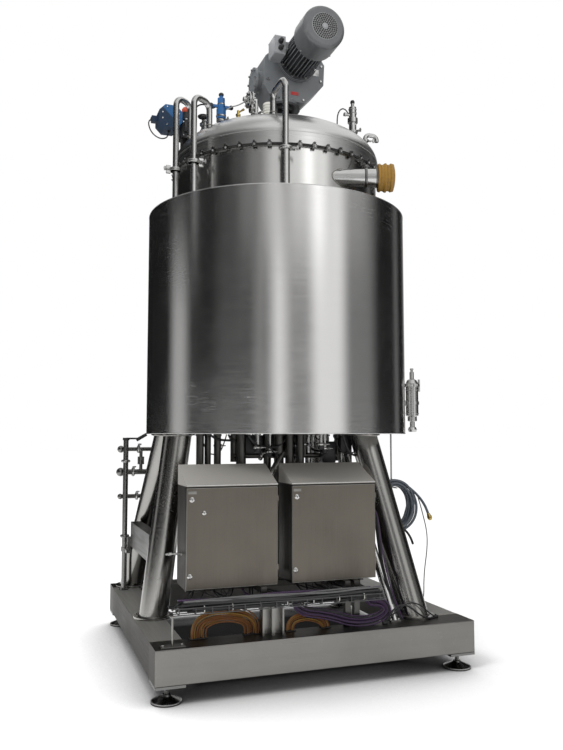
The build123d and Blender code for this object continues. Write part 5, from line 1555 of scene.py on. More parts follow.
@dataclass
class LidFittings:
    """Clamps, knobs, glazing and ribs of the fittings on the lid and the shell."""

    block_place: Point = (-0.650, 0.100, 3.760)
    gauge: tuple[float, float] = (-0.465, -0.220)
    glass: Point = (-0.275, -0.300, 3.892)
    relief: tuple[float, float] = (0.475, -0.420)
    nozzle_end: Point = (0.495, -0.770, 3.257)
    nozzle_lean: float = -20.0

    def build(self) -> None:
        """Make the small parts in order from left to right."""
        self.risers()
        self.valve()
        self.gauge_parts()
        self.sight_glass()
        self.relief_valve()
        self.nozzle()

    def risers(self) -> None:
        """Clamps and weld rings on the three risers."""
        clamps = Skin()
        for place, radius, wing in (
            ((-0.186, -0.800, 3.368), 0.038, (1.0, -0.4, 0.0)),
            ((-0.785, -0.200, 3.351), 0.040, (-1.0, -0.2, 0.0)),
            ((-0.703, -0.400, 3.351), 0.040, (1.0, -0.5, 0.0)),
        ):
            pipe_clamp(clamps, place, UP, radius, wing)
        clamps.piece("riser_clamps", Finishes.fitting)
        beads = Skin()
        for x, y, radius in ((-0.186, -0.800, 0.029), (-0.785, -0.200, 0.021), (-0.703, -0.400, 0.021)):
            beads.ring(ring_line((x, y, JACKET_TOP + 0.010), radius + 0.001, points=32), circle(0.003, 8))
        for x, y in ((-0.186, -0.550), (-0.667, -0.120), (-0.573, -0.310)):
            beads.ring(ring_line((x, y, lid_height(x, y) + 0.006), 0.022, points=32), circle(0.004, 8))
        beads.piece("riser_weld_rings", Finishes.bead)

    def valve(self) -> None:
        """Ribs, studs and signal cap of the valve at the lid's left edge, and its actuator's screws."""
        x, y, z = self.block_place
        ribs = Skin()
        height = np.linspace(-0.078, -0.004, 19)
        radius = 0.0385 + 0.0035 * np.cos(np.arange(19) * np.pi)
        ribs.turn([(0.034, -0.080), *zip(radius, height), (0.034, -0.002)], (x, y, z - 0.065), sides=28)
        ribs.block((x, y - 0.062, z + 0.010), (0.052, 0.070, 0.016), 0.004, FRONT)
        ribs.piece("valve_ribbed_neck", Finishes.black)
        studs = Skin()
        head = turned([(0.007, 0.0), (0.007, 0.010), (0.005, 0.012)], ORIGIN, FRONT, sides=6)
        places = [(x + a * 0.033, y - 0.055, z + b * 0.050) for a in (-1, 1) for b in (-1, 1)]
        studs.add(copies(head, np.array(places)))
        studs.turn([(0.031, 0.0), (0.031, 0.008), (0.029, 0.010)], (x, y, z + 0.085), sides=28)
        studs.turn(
            [(0.020, 0.0), (0.020, 0.020), (0.026, 0.022), (0.026, 0.030), (0.018, 0.032)],
            (x + 0.045, y, z - 0.020), RIGHT, sides=20,
        )
        studs.piece("valve_studs", Finishes.fitting)
        Skin().turn(
            [(0.029, 0.0), (0.032, 0.004), (0.032, 0.026), (0.024, 0.038), (0.008, 0.041)],
            (x, y, z + 0.145), sides=28,
        ).piece("valve_signal_cap", Finishes.signal)
        box_skin = Skin()
        box_skin.block((-0.905, 0.100, 3.822), (0.030, 0.030, 0.020), 0.006, LEFT)
        box_skin.turn(
            [(0.012, 0.0), (0.012, 0.008), (0.008, 0.010)], (-0.780, 0.100, 3.748), DOWN, sides=12,
        )
        box_skin.piece("actuator_plugs", Finishes.black)
        screws = Skin()
        head = turned([(0.0065, 0.0), (0.0065, 0.003), (0.005, 0.0045)], ORIGIN, FRONT, sides=10)
        corners = [(a * 0.060, b * 0.022) for a in (-1, 1) for b in (1, -1)]
        corners += [(a * 0.028, b * 0.066) for b in (1, -1) for a in (-1, 1)]
        places = [(-0.780 + a, 0.015, 3.831 + b) for a, b in corners]
        screws.add(copies(head, np.array(places)))
        screws.piece("actuator_screws", Finishes.fitting)
        self.hand_valves()

    def hand_valves(self) -> None:
        """Three hand valves between the risers and the gauge: stem, bonnet and wheel."""
        steel, wheels = Skin(), Skin()
        for x, y, height, radius in (
            (-0.560, -0.070, 0.105, 0.040), (-0.520, 0.060, 0.085, 0.034), (-0.575, -0.190, 0.070, 0.030),
        ):
            foot = lid_height(x, y)
            profile = [
                (0.022, -0.012), (0.022, 0.010), (0.014, 0.014), (0.014, 0.040), (0.024, 0.044),
                (0.024, 0.056), (0.010, 0.060), (0.010, height),
            ]
            steel.turn(profile, (x, y, foot), sides=20)
            wheels.turn(
                [
                    (0.010, height - 0.004), (radius * 0.9, height), (radius, height + 0.006),
                    (radius, height + 0.012), (radius * 0.85, height + 0.017), (0.010, height + 0.014),
                ],
                (x, y, foot), sides=28,
            )
        steel.piece("hand_valve_bodies", Finishes.fitting)
        wheels.piece("hand_valve_wheels", Finishes.black)

    def gauge_parts(self) -> None:
        """Clamp, bands and knobs of the transmitter, and the bleed and the tube beside it."""
        x, y = self.gauge
        foot = lid_height(x, y)
        steel = Skin()
        pipe_clamp(steel, (x, y, foot + 0.012), UP, 0.027, (0.6, -1.0, 0.0))
        steel.turn(band(0.0345, 0.0365, 0.012), (x, y, foot + 0.040), sides=32)
        steel.turn(band(0.0265, 0.0285, 0.010), (x, y, foot + 0.128), sides=32)
        steel.piece("gauge_steel_rings", Finishes.fitting)
        knobs = Skin()
        for side in (-1, 1):
            knobs.turn(
                [(0.009, 0.0), (0.015, 0.004), (0.017, 0.014), (0.013, 0.024), (0.005, 0.027)],
                (x + side * 0.062, y, foot + 0.118), (side * 1.0, 0.0, 0.25), sides=20,
            )
        knobs.turn(
            [(0.013, 0.0), (0.018, 0.003), (0.018, 0.016), (0.012, 0.022)], (x, y, foot + 0.196), sides=20,
        )
        knobs.piece("gauge_black_knobs", Finishes.black)
        brass = Skin()
        place_x, place_y = -0.352, -0.268
        base = lid_height(place_x, place_y)
        brass.turn(
            [
                (0.013, -0.010), (0.013, 0.018), (0.018, 0.020), (0.018, 0.034), (0.009, 0.038),
                (0.009, 0.060), (0.005, 0.064),
            ],
            (place_x, place_y, base), sides=6,
        )
        brass.turn(
            [(0.006, 0.0), (0.006, 0.030), (0.008, 0.034), (0.008, 0.050)],
            (place_x, place_y, base + 0.046), (0.8, -0.3, 0.5), sides=12,
        )
        brass.piece("lid_brass_bleed", Finishes.brass)
        line = nurbs_line(
            np.array([
                (x + 0.030, y - 0.004, foot + 0.095), (-0.400, -0.235, foot + 0.120),
                (-0.350, -0.262, foot + 0.128), (-0.310, -0.285, 3.880), (-0.290, -0.296, 3.878),
            ])
        )
        tube = Skin().tube(line, circle(0.0042, 10))
        tube.piece("gauge_bright_tube", Finishes.fitting)

    def sight_glass(self) -> None:
        """Glass discs, their screwed rings and the clamps of the sight glass."""
        x, y, z = self.glass
        rings, glass = Skin(), Skin()
        for side in (-1, 1):
            face = (x + side * 0.011, y, z)
            axis = (float(side), 0.0, 0.0)
            rings.turn(
                [
                    (0.0405, -0.006), (0.0590, -0.005), (0.0600, 0.004), (0.0560, 0.0065), (0.0340, 0.0065),
                    (0.0325, 0.0030),
                ],
                face, axis, sides=48,
            )
            glass.turn(
                [(0.0330, 0.0010), (0.0330, 0.0040), (0.0300, 0.0052), (0.0060, 0.0056)], face, axis,
                sides=32,
            )
            angle = even_angles(8)
            places = points_of(
                face[0] + side * 0.0062, y + 0.0475 * np.cos(angle), z + 0.0475 * np.sin(angle),
            )
            screw = turned(
                [(0.0062, 0.0), (0.0062, 0.0050), (0.0040, 0.0058), (0.0040, 0.0110)], ORIGIN, axis,
                sides=6,
            )
            rings.add(copies(screw, places))
        pipe_clamp(rings, (-0.230, -0.300, 3.786), UP, 0.030, (0.3, -1.0, 0.0))
        pipe_clamp(rings, (-0.265, -0.300, 3.834), RIGHT, 0.030, (0.0, -0.6, 1.0))
        rings.piece("sight_glass_rings", Finishes.fitting)
        glass.piece("sight_glass_discs", Finishes.glass)

    def relief_valve(self) -> None:
        """Black cap, adjusting nut and clamps of the relief valve."""
        x, y = self.relief
        foot = lid_height(x, y)
        Skin().turn(
            [(0.014, 0.0), (0.016, 0.003), (0.016, 0.014), (0.012, 0.022), (0.004, 0.024)],
            (x, y, foot + 0.230), sides=20,
        ).piece("relief_black_cap", Finishes.black)
        steel = Skin()
        pipe_clamp(steel, (x, y, foot + 0.012), UP, 0.030, (0.5, -1.0, 0.0))
        steel.turn(band(0.0275, 0.0300, 0.017, 0.003), (x, y, foot + 0.060), sides=6)
        for rise, outer, height in ((0.150, 0.0315, 0.009), (0.180, 0.0300, 0.008)):
            steel.turn(band(0.0275, outer, height), (x, y, foot + rise), sides=32)
        steel.turn(
            [(0.010, 0.0), (0.010, 0.030), (0.014, 0.032), (0.014, 0.046), (0.010, 0.048)],
            (x - 0.022, y, foot + 0.140), LEFT, sides=16,
        )
        pipe_clamp(steel, (0.575, -0.420, lid_height(0.575, -0.420) + 0.012), UP, 0.021, (1.0, -0.3, 0.0))
        steel.piece("relief_steel_rings", Finishes.fitting)
        # Painted shade: a dark disc at the gooseneck's open end stands for the shade inside the pipe.
        Skin().turn(
            [(0.0125, 0.0), (0.0125, 0.0006)], (0.668, -0.420, lid_height(0.575, -0.420) + 0.0140), DOWN,
            sides=20,
        ).piece("gooseneck_dark_mouth", Finishes.gasket)

    def nozzle(self) -> None:
        """Clamp, weld ring and chains of the side nozzle, and the strap on its cap."""
        lean = np.radians(self.nozzle_lean)
        axis = np.array([np.cos(lean), np.sin(lean), 0.0])
        end = np.array(self.nozzle_end)
        bands = Skin()
        pipe_clamp(bands, tuple(end - 0.082 * axis), tuple(axis), 0.061, (0.25, 0.25, 1.0))
        bands.turn(band(0.0612, 0.0660, 0.012), tuple(end - 0.014 * axis), tuple(axis), sides=48)
        bands.piece("nozzle_clamp", Finishes.clamp)
        Skin().turn(
            [(0.0955, 0.046), (0.0978, 0.047), (0.0978, 0.055), (0.0955, 0.056)], tuple(end), tuple(axis),
            sides=56,
        ).piece("nozzle_cap_strap", Finishes.cap)
        around = np.linspace(0, 2 * np.pi, 96, endpoint=False)
        side = np.array([-np.sin(lean), np.cos(lean), 0.0])
        offset = 0.0620 * (np.cos(around)[:, None] * side + np.sin(around)[:, None] * np.array(UP))
        start = end + offset - np.array([*AXIS, 0.0])
        along = start[:, :2] @ axis[:2]
        away = np.einsum("ij,ij->i", start[:, :2], start[:, :2]) - (SHELL_RADIUS + 0.0005) ** 2
        back = along - np.sqrt(np.maximum(along**2 - away, 0.0))
        line = end + offset - back[:, None] * axis
        weld = Skin().ring(line, circle(0.0036, 8))
        weld.piece("nozzle_weld_ring", Finishes.bead)
        chain = Skin()
        top = np.array([
            (0.402, -0.680, 3.418), (0.412, -0.712, 3.372), (0.418, -0.742, 3.332), (0.428, -0.762, 3.300),
        ])
        low = np.array([
            (0.440, -0.775, 3.186), (0.446, -0.790, 3.158), (0.452, -0.800, 3.128), (0.452, -0.802, 3.108),
        ])
        link = carried(
            ring_line(ORIGIN, 1.0, BACK, 12) * np.array([0.0058, 1.0, 0.0095]), circle(0.0019, 6),
            closed=True,
        )
        for route in (top, low):
            line = nurbs_line(route, 6)
            reach = np.concatenate([[0.0], np.cumsum(np.linalg.norm(np.diff(line, axis=0), axis=1))])
            steps = np.arange(0.0, reach[-1], 0.0135)
            places = np.column_stack([np.interp(steps, reach, line[:, k]) for k in range(3)])
            turns = turns_about_z(np.arange(len(steps)) * np.pi / 2 + 0.4)
            chain.add(copies(link, places, turns), joined=True)
        chain.piece("nozzle_cap_chain", Finishes.clamp)


@dataclass
class Cabinets:
    """Locks, bare badges, seals, drip edges and inner gear of the two cabinets."""

    width: float = 0.580
    front: float = -0.803
    bottom: float = 0.584
    door_top: float = 1.188
    rails: tuple[float, ...] = (0.740, 0.880, 1.020)
    duct_heights: tuple[float, ...] = (0.670, 0.810, 0.950, 1.095)
    module_widths: tuple[float, ...] = (0.018, 0.027, 0.036, 0.054)
    row_width: float = 0.430
    plate_depth: float = -0.566
    rail_depth: float = -0.572
    duct_depth: float = -0.592
    module_depth: float = -0.606

    def build(self) -> None:
        """Dress both cabinets and their doors."""
        for name, middle in zip(("left", "right"), CABINET_MIDDLES):
            self.door(name, middle)
            self.housing(name, middle)
            self.inside(name, middle)
        self.side_stub()

    def door(self, name: str, middle: float) -> None:
        """Lock inserts, badge and folded rim of one door.

        Args:
            name: left or right.
            middle: the cabinet's middle along X.
        """
        body = f"door_{name}"
        left = middle - self.width / 2
        locks, slots = Skin(), Skin()
        places = [
            (left + 0.034, self.door_top - 0.070, 0.0115), (left + 0.024, self.bottom + 0.080, 0.0115),
        ]
        if name == "left":
            places.append((-0.709, 1.037, 0.0095))
        for x, z, radius in places:
            locks.turn(
                [
                    (radius * 1.45, 0.0), (radius * 1.45, 0.0015), (radius * 1.25, 0.0035),
                    (radius, 0.0040), (radius, 0.0080), (radius * 0.8, 0.0092),
                ],
                (x, self.front, z), FRONT, sides=28,
            )
            # Painted shade: a dark strip on each lock stands for the shade in its key slot.
            slots.block((x, self.front - 0.0093, z), (0.0030, radius * 1.2, 0.0012), 0.0005, FRONT)
        locks.piece(f"door_{name}_locks", Finishes.fitting, body)
        slots.piece(f"door_{name}_lock_slots", Finishes.gasket, body)
        Skin().block(
            (left + 0.036, self.front - 0.0008, self.door_top - 0.028), (0.052, 0.017, 0.0016), 0.0006,
            FRONT,
        ).piece(f"door_{name}_bare_badge", Finishes.channel, body)
        half, low, high = self.width / 2 - 0.003, self.bottom + 0.003, self.door_top - 0.003
        corners = rounded(2 * half, high - low, 0.006, 5)
        line = points_of(middle + corners[:, 0], self.front - 0.0002, (low + high) / 2 + corners[:, 1])
        Skin().ring(line, circle(0.0016, 8)).piece(f"door_{name}_folded_rim", Finishes.channel, body)
        stiffener = Skin()
        for across in (-0.17, 0.17):
            stiffener.block(
                (middle + across, self.front + 0.0085, (low + high) / 2), (0.030, 0.007, 0.50), 0.002,
            )
        stiffener.piece(f"door_{name}_stiffeners", Finishes.cabinet, body)

    def housing(self, name: str, middle: float) -> None:
        """Seal, drip edge and glands of one housing.

        Args:
            name: left or right.
            middle: the cabinet's middle along X.
        """
        half = self.width / 2
        seal = Skin()
        corners = rounded(2 * half - 0.012, self.door_top - self.bottom - 0.012, 0.008, 5)
        height = (self.door_top + self.bottom) / 2
        line = points_of(middle + corners[:, 0], self.front + 0.0195, height + corners[:, 1])
        seal.ring(line, circle(0.0022, 8))
        level = (self.front + 0.004, self.door_top + 0.0025)
        start = np.array((middle - half + 0.002, *level))
        end = np.array((middle + half - 0.002, *level))
        seal.tube(np.linspace(start, end, 4), circle(0.0022, 8))
        seal.piece(f"cabinet_{name}_seal", Finishes.gasket)
        across = np.linspace(middle - half - 0.0005, middle + half + 0.0005, 8)
        line = points_of(across, self.front - 0.0035, self.door_top + 0.0140)
        Skin().tube(line, circle(0.0026, 8)).piece(f"cabinet_{name}_drip_edge", Finishes.fitting)
        glands = Skin()
        gland = [
            (0.013, 0.0), (0.013, -0.008), (0.010, -0.009), (0.012, -0.014), (0.010, -0.026),
            (0.006, -0.029),
        ]
        for back in GLAND_ROWS:
            places = points_of(middle + GLAND_STEPS, back, self.bottom)
            glands.add(copies(turned(gland, ORIGIN, sides=12), places))
        glands.piece(f"cabinet_{name}_glands", Finishes.black)

    def inside(self, name: str, middle: float) -> None:
        """A mounting plate with rails, plain modules and slotted ducts inside one housing.

        Args:
            name: left or right.
            middle: the cabinet's middle along X.
        """
        plate = Skin()
        plate.block((middle, self.plate_depth, self.rails[1]), (0.500, 0.520, 0.003), 0.001, FRONT)
        for z in self.rails:
            plate.block((middle, self.rail_depth, z), (0.460, 0.035, 0.007), 0.001, FRONT)
        plate.piece(f"cabinet_{name}_mounting_plate", Finishes.channel)
        modules, ducts = Skin(), Skin()
        rng = np.random.default_rng(MODULE_SEEDS[name])
        for z in self.rails:
            edges = np.cumsum(rng.choice(self.module_widths, 13))
            edges = edges[edges < self.row_width]
            widths = np.diff(np.concatenate([[0.0], edges]))
            for width, edge in zip(widths, edges):
                size = (width - 0.0015, 0.086, 0.058)
                modules.block(
                    (middle - self.row_width / 2 + edge - width / 2, self.module_depth, z), size, 0.003,
                    FRONT,
                )
        modules.piece(f"cabinet_{name}_modules", Finishes.black)
        for z in self.duct_heights:
            ducts.block((middle, self.duct_depth, z), (0.470, 0.036, 0.046), 0.002, FRONT)
        ducts.piece(f"cabinet_{name}_ducts", Finishes.breather)

    def side_stub(self) -> None:
        """The short rod with its clip on the left cabinet's side."""
        left = CABINET_MIDDLES[0] - self.width / 2
        profile = [
            (0.012, 0.0), (0.012, 0.006), (0.0075, 0.008), (0.0075, 0.060), (0.011, 0.064), (0.011, 0.080),
            (0.0075, 0.084), (0.0075, 0.096), (0.004, 0.100),
        ]
        Skin().turn(
            profile, (left, -0.690, 0.786), LEFT, sides=16,
        ).piece("cabinet_side_stub", Finishes.fitting)


@dataclass
class Wiring:
    """The fixed cables in the tray, their drops from the cabinets and their ties."""

    tray_left: float = -0.900
    tray_right: float = 0.420
    tray_front: float = -0.960
    tray_floor: float = 0.4835
    seed: int = 11
    lanes: int = 6
    lane_pitch: float = 0.0125
    layer_pitch: float = 0.011
    tie_pitch: float = 0.17
    slack_cables: int = 26

    def build(self) -> None:
        """Lay the tray's cables, the drops, the ties and the cables under the jacket."""
        self.tray_cables()
        self.drops()
        self.under_jacket()

    def tray_cables(self) -> None:
        """Cables side by side in the tray: y and z wander by slow sines along x.

        The layer's height is the floor + radius + layer pitch + a (1 + sin(w x + g)).
        """
        rng = np.random.default_rng(self.seed)
        kinds = (
            (Finishes.cable, 30, "black"), (Finishes.grey_cable, 3, "grey"), (Finishes.violet, 2, "violet"),
        )
        lane = 0
        for finish, number, name in kinds:
            skin = Skin()
            for _ in range(number):
                radius = rng.uniform(0.0042, 0.0078)
                across = self.tray_front + 0.012 + self.lane_pitch * (
                    lane % self.lanes
                ) + rng.uniform(-0.002, 0.002)
                layer = lane // self.lanes
                start = self.tray_left + rng.uniform(0.0, 0.10)
                stop = self.tray_right - rng.uniform(0.0, 0.12)
                x = np.linspace(start, stop, 26)
                wave = rng.uniform(6, 12)
                phase = rng.uniform(0, LAST_PHASE)
                rise = self.tray_floor + radius + self.layer_pitch * layer + 0.004 * (
                    1 + np.sin(wave * x + phase)
                )
                route = np.column_stack([x, across + 0.006 * np.sin(0.7 * wave * x + phase), rise])
                skin.tube(nurbs_line(route, 4), circle(radius, 8))
                lane += 1
            skin.piece(f"tray_cables_{name}", finish)
        ties = Skin()
        for x in np.arange(self.tray_left + 0.16, self.tray_right, self.tie_pitch):
            outline = rounded(0.080, 0.040, 0.014, 4)
            line = points_of(x, -0.916 + outline[:, 0], self.tray_floor + 0.019 + outline[:, 1])
            ties.ring(line, circle(0.0022, 6) * np.array([1.0, 1.4]))
        ties.piece("tray_cable_ties", Finishes.breather)

    def drops(self) -> None:
        """Cables that leave the cabinets' glands, turn forward and sink into the tray."""
        rng = np.random.default_rng(self.seed + 1)
        groups = {Finishes.cable: Skin(), Finishes.grey_cable: Skin(), Finishes.violet: Skin()}
        choice = [Finishes.cable] * 8
        choice[3] = Finishes.grey_cable
        choice[5] = Finishes.violet
        for middle in CABINET_MIDDLES:
            for back in GLAND_ROWS:
                for number, across in enumerate(GLAND_STEPS):
                    x = middle + across
                    run = rng.uniform(-0.14, 0.14)
                    low = rng.uniform(0.525, 0.548)
                    route = np.array([
                        (x, back, 0.558), (x, back, 0.550), (x + 0.2 * run, back - 0.05, low),
                        (x + 0.5 * run, -0.800, low - 0.004), (x + 0.8 * run, -0.860, low),
                        (x + run, -0.895, 0.530), (x + 1.5 * run, -0.915, 0.512),
                        (x + 2.2 * run, -0.920, 0.500),
                    ])
                    route[:, 0] = np.clip(route[:, 0], -0.920, 0.425)
                    radius = rng.uniform(0.0035, 0.0058)
                    groups[choice[number]].tube(nurbs_line(route, 5), circle(radius, 8))
        for (finish, skin), name in zip(groups.items(), ("black", "grey", "violet")):
            skin.piece(f"cabinet_drop_cables_{name}", finish)

    def under_jacket(self) -> None:
        """Cables, ducts and pipes below the jacket, seen over and between the cabinets' roofs."""
        rng = np.random.default_rng(self.seed + 2)
        cables = Skin()
        for _ in range(self.slack_cables):
            start = rng.uniform(-0.62, 0.40)
            reach = rng.uniform(0.12, 0.34)
            depth = rng.uniform(-0.50, -0.10)
            sag = rng.uniform(0.03, 0.16)
            top = JACKET_BOTTOM - 0.004
            route = np.array([
                (start, depth, top), (start + 0.02, depth, top - 0.5 * sag),
                (start + 0.3 * reach, depth + 0.02, top - sag),
                (start + 0.7 * reach, depth + 0.03, top - sag),
                (start + reach - 0.02, depth + 0.05, top - 0.5 * sag), (start + reach, depth + 0.05, top),
            ])
            cables.tube(nurbs_line(route, 5), circle(rng.uniform(0.004, 0.008), 8))
        cables.piece("jacket_underside_cables", Finishes.cable)
        stubs, caps = Skin(), Skin()
        for x, y, drop in ((-0.250, -0.420, 0.090), (-0.150, -0.380, 0.120), (0.240, -0.420, 0.100),
                           (0.300, -0.250, 0.130), (-0.480, -0.250, 0.080), (0.180, -0.500, 0.070)):
            stubs.turn(
                [(0.024, 0.0), (0.024, -0.006), (0.015, -0.008), (0.015, -drop)], (x, y, JACKET_BOTTOM),
                sides=20,
            )
            pipe_clamp(stubs, (x, y, JACKET_BOTTOM - drop), UP, 0.024, (0.4, -1.0, 0.0))
            caps.turn(
                [(0.012, -0.040), (0.022, -0.034), (0.024, -0.011), (0.015, -0.008)],
                (x, y, JACKET_BOTTOM - drop), sides=20,
            )
        stubs.piece("jacket_underside_stubs", Finishes.pipe)
        caps.piece("jacket_underside_caps", Finishes.black)
        self.drop_pipes()

    def drop_pipes(self) -> None:
        """Upright pipes and plain boxes between the jacket and the skid, behind the cabinets."""
        pipes, dark, boxes = Skin(), Skin(), Skin()
        for x, y, radius in (
            (0.070, -0.300, 0.020), (0.120, -0.280, 0.016), (0.165, -0.300, 0.022), (0.215, -0.270, 0.014),
            (0.430, -0.280, 0.022), (0.360, -0.180, 0.018),
        ):
            pipes.turn(
                [
                    (radius + 0.006, -0.004), (radius + 0.006, -0.016), (radius, -0.018), (radius, -0.900),
                    (radius * 0.8, -0.905),
                ],
                (x, y, JACKET_BOTTOM), sides=24,
            )
        for x, y, radius in (
            (-0.625, -0.330, 0.026), (-0.565, -0.300, 0.022), (-0.505, -0.330, 0.024),
            (-0.345, -0.350, 0.034), (-0.020, -0.420, 0.030), (0.050, -0.440, 0.028),
            (-0.090, -0.400, 0.034), (-0.160, -0.360, 0.026), (0.500, -0.240, 0.030),
        ):
            dark.turn(
                [
                    (radius + 0.004, 0.002), (radius + 0.004, -0.014), (radius, -0.016), (radius, -1.000),
                    (radius * 0.8, -1.004),
                ],
                (x, y, JACKET_BOTTOM), sides=24,
            )
        for place, size in (
            ((0.290, -0.360, 1.385), (0.100, 0.070, 0.150)),
            ((-0.230, -0.300, 1.440), (0.160, 0.090, 0.130)),
            ((-0.060, -0.300, 1.440), (0.120, 0.090, 0.130)),
            ((0.420, -0.360, 1.440), (0.090, 0.070, 0.120)),
        ):
            boxes.block(place, size, 0.010)
        line = nurbs_line(
            np.array([
                (0.030, -0.330, 1.505), (0.020, -0.332, 1.470), (-0.085, -0.430, 1.365),
                (-0.180, -0.515, 1.262), (-0.196, -0.528, 1.225), (-0.196, -0.530, 0.620),
            ])
        )
        pipes.tube(line, circle(0.020, 20))
        pipes.piece("jacket_drop_pipes", Finishes.pipe)
        dark.piece("jacket_drop_sleeves", Finishes.stand)
        boxes.piece("jacket_underside_boxes", Finishes.black)


@dataclass
class SidePipes:
    """Clamps, brackets and bands of the manifold, the filter and the pipes."""

    post: tuple[float, float] = (-0.965, 0.735)
    pipe_depth: float = 0.777
    pipe_heights: tuple[float, ...] = (1.213, 1.392, 1.022)
    cross_pipe: tuple[float, float] = (-0.330, 1.363)
    filter_foot: Point = (0.972, -0.357, 1.528)

    def build(self) -> None:
        """Make the pipe clamps, the brackets, the filter's bands and the end cap."""
        clamps = Skin()
        for x, z, radius in (
            (-0.900, 1.213, 0.030), (-0.760, 1.213, 0.030), (-0.860, 1.392, 0.025), (-0.870, 1.022, 0.025),
        ):
            pipe_clamp(clamps, (x, self.pipe_depth, z), RIGHT, radius, (0.0, -0.8, 0.6))
        for z in (1.300, 0.720):
            pipe_clamp(clamps, (*self.post, z), UP, 0.028, (-0.4, -1.0, 0.0))
        for x, z in ((0.060, 1.430), (0.125, 1.440)):
            pipe_clamp(clamps, (x, -0.330, z), UP, 0.026, (0.3, -1.0, 0.0))
        for x in (-0.200, 0.260):
            pipe_clamp(clamps, (x, *self.cross_pipe), RIGHT, 0.026, (0.0, -1.0, 0.3))
        pipe_clamp(clamps, (*AXIS, 1.453), UP, 0.058, (0.3, -1.0, 0.0))
        clamps.piece("pipe_clamps", Finishes.fitting)
        tees = Skin()
        for z in self.pipe_heights:
            tees.block((-0.965, 0.756, z), (0.034, 0.034, 0.060), 0.006, BACK)
        tees.piece("manifold_pipe_brackets", Finishes.clamp)
        rings = Skin()
        x, y, z = self.filter_foot
        for height in (0.130, 0.305):
            rings.turn(band(0.0460, 0.0485, 0.010), (x, y, z + height), sides=40)
        pipe_clamp(rings, (x, y, z + 0.343), UP, 0.050, (-0.2, -1.0, 0.0))
        rings.turn(
            [(0.010, 0.0), (0.010, 0.018), (0.013, 0.020), (0.013, 0.028), (0.006, 0.031)],
            (x, y, z + 0.440), sides=16,
        )
        rings.piece("filter_bands", Finishes.fitting)
        Skin().turn(
            [(0.017, 0.0), (0.020, 0.004), (0.020, 0.020), (0.013, 0.030)], (-0.998, 0.777, 1.213), LEFT,
            sides=20,
        ).piece("manifold_end_cap", Finishes.black)


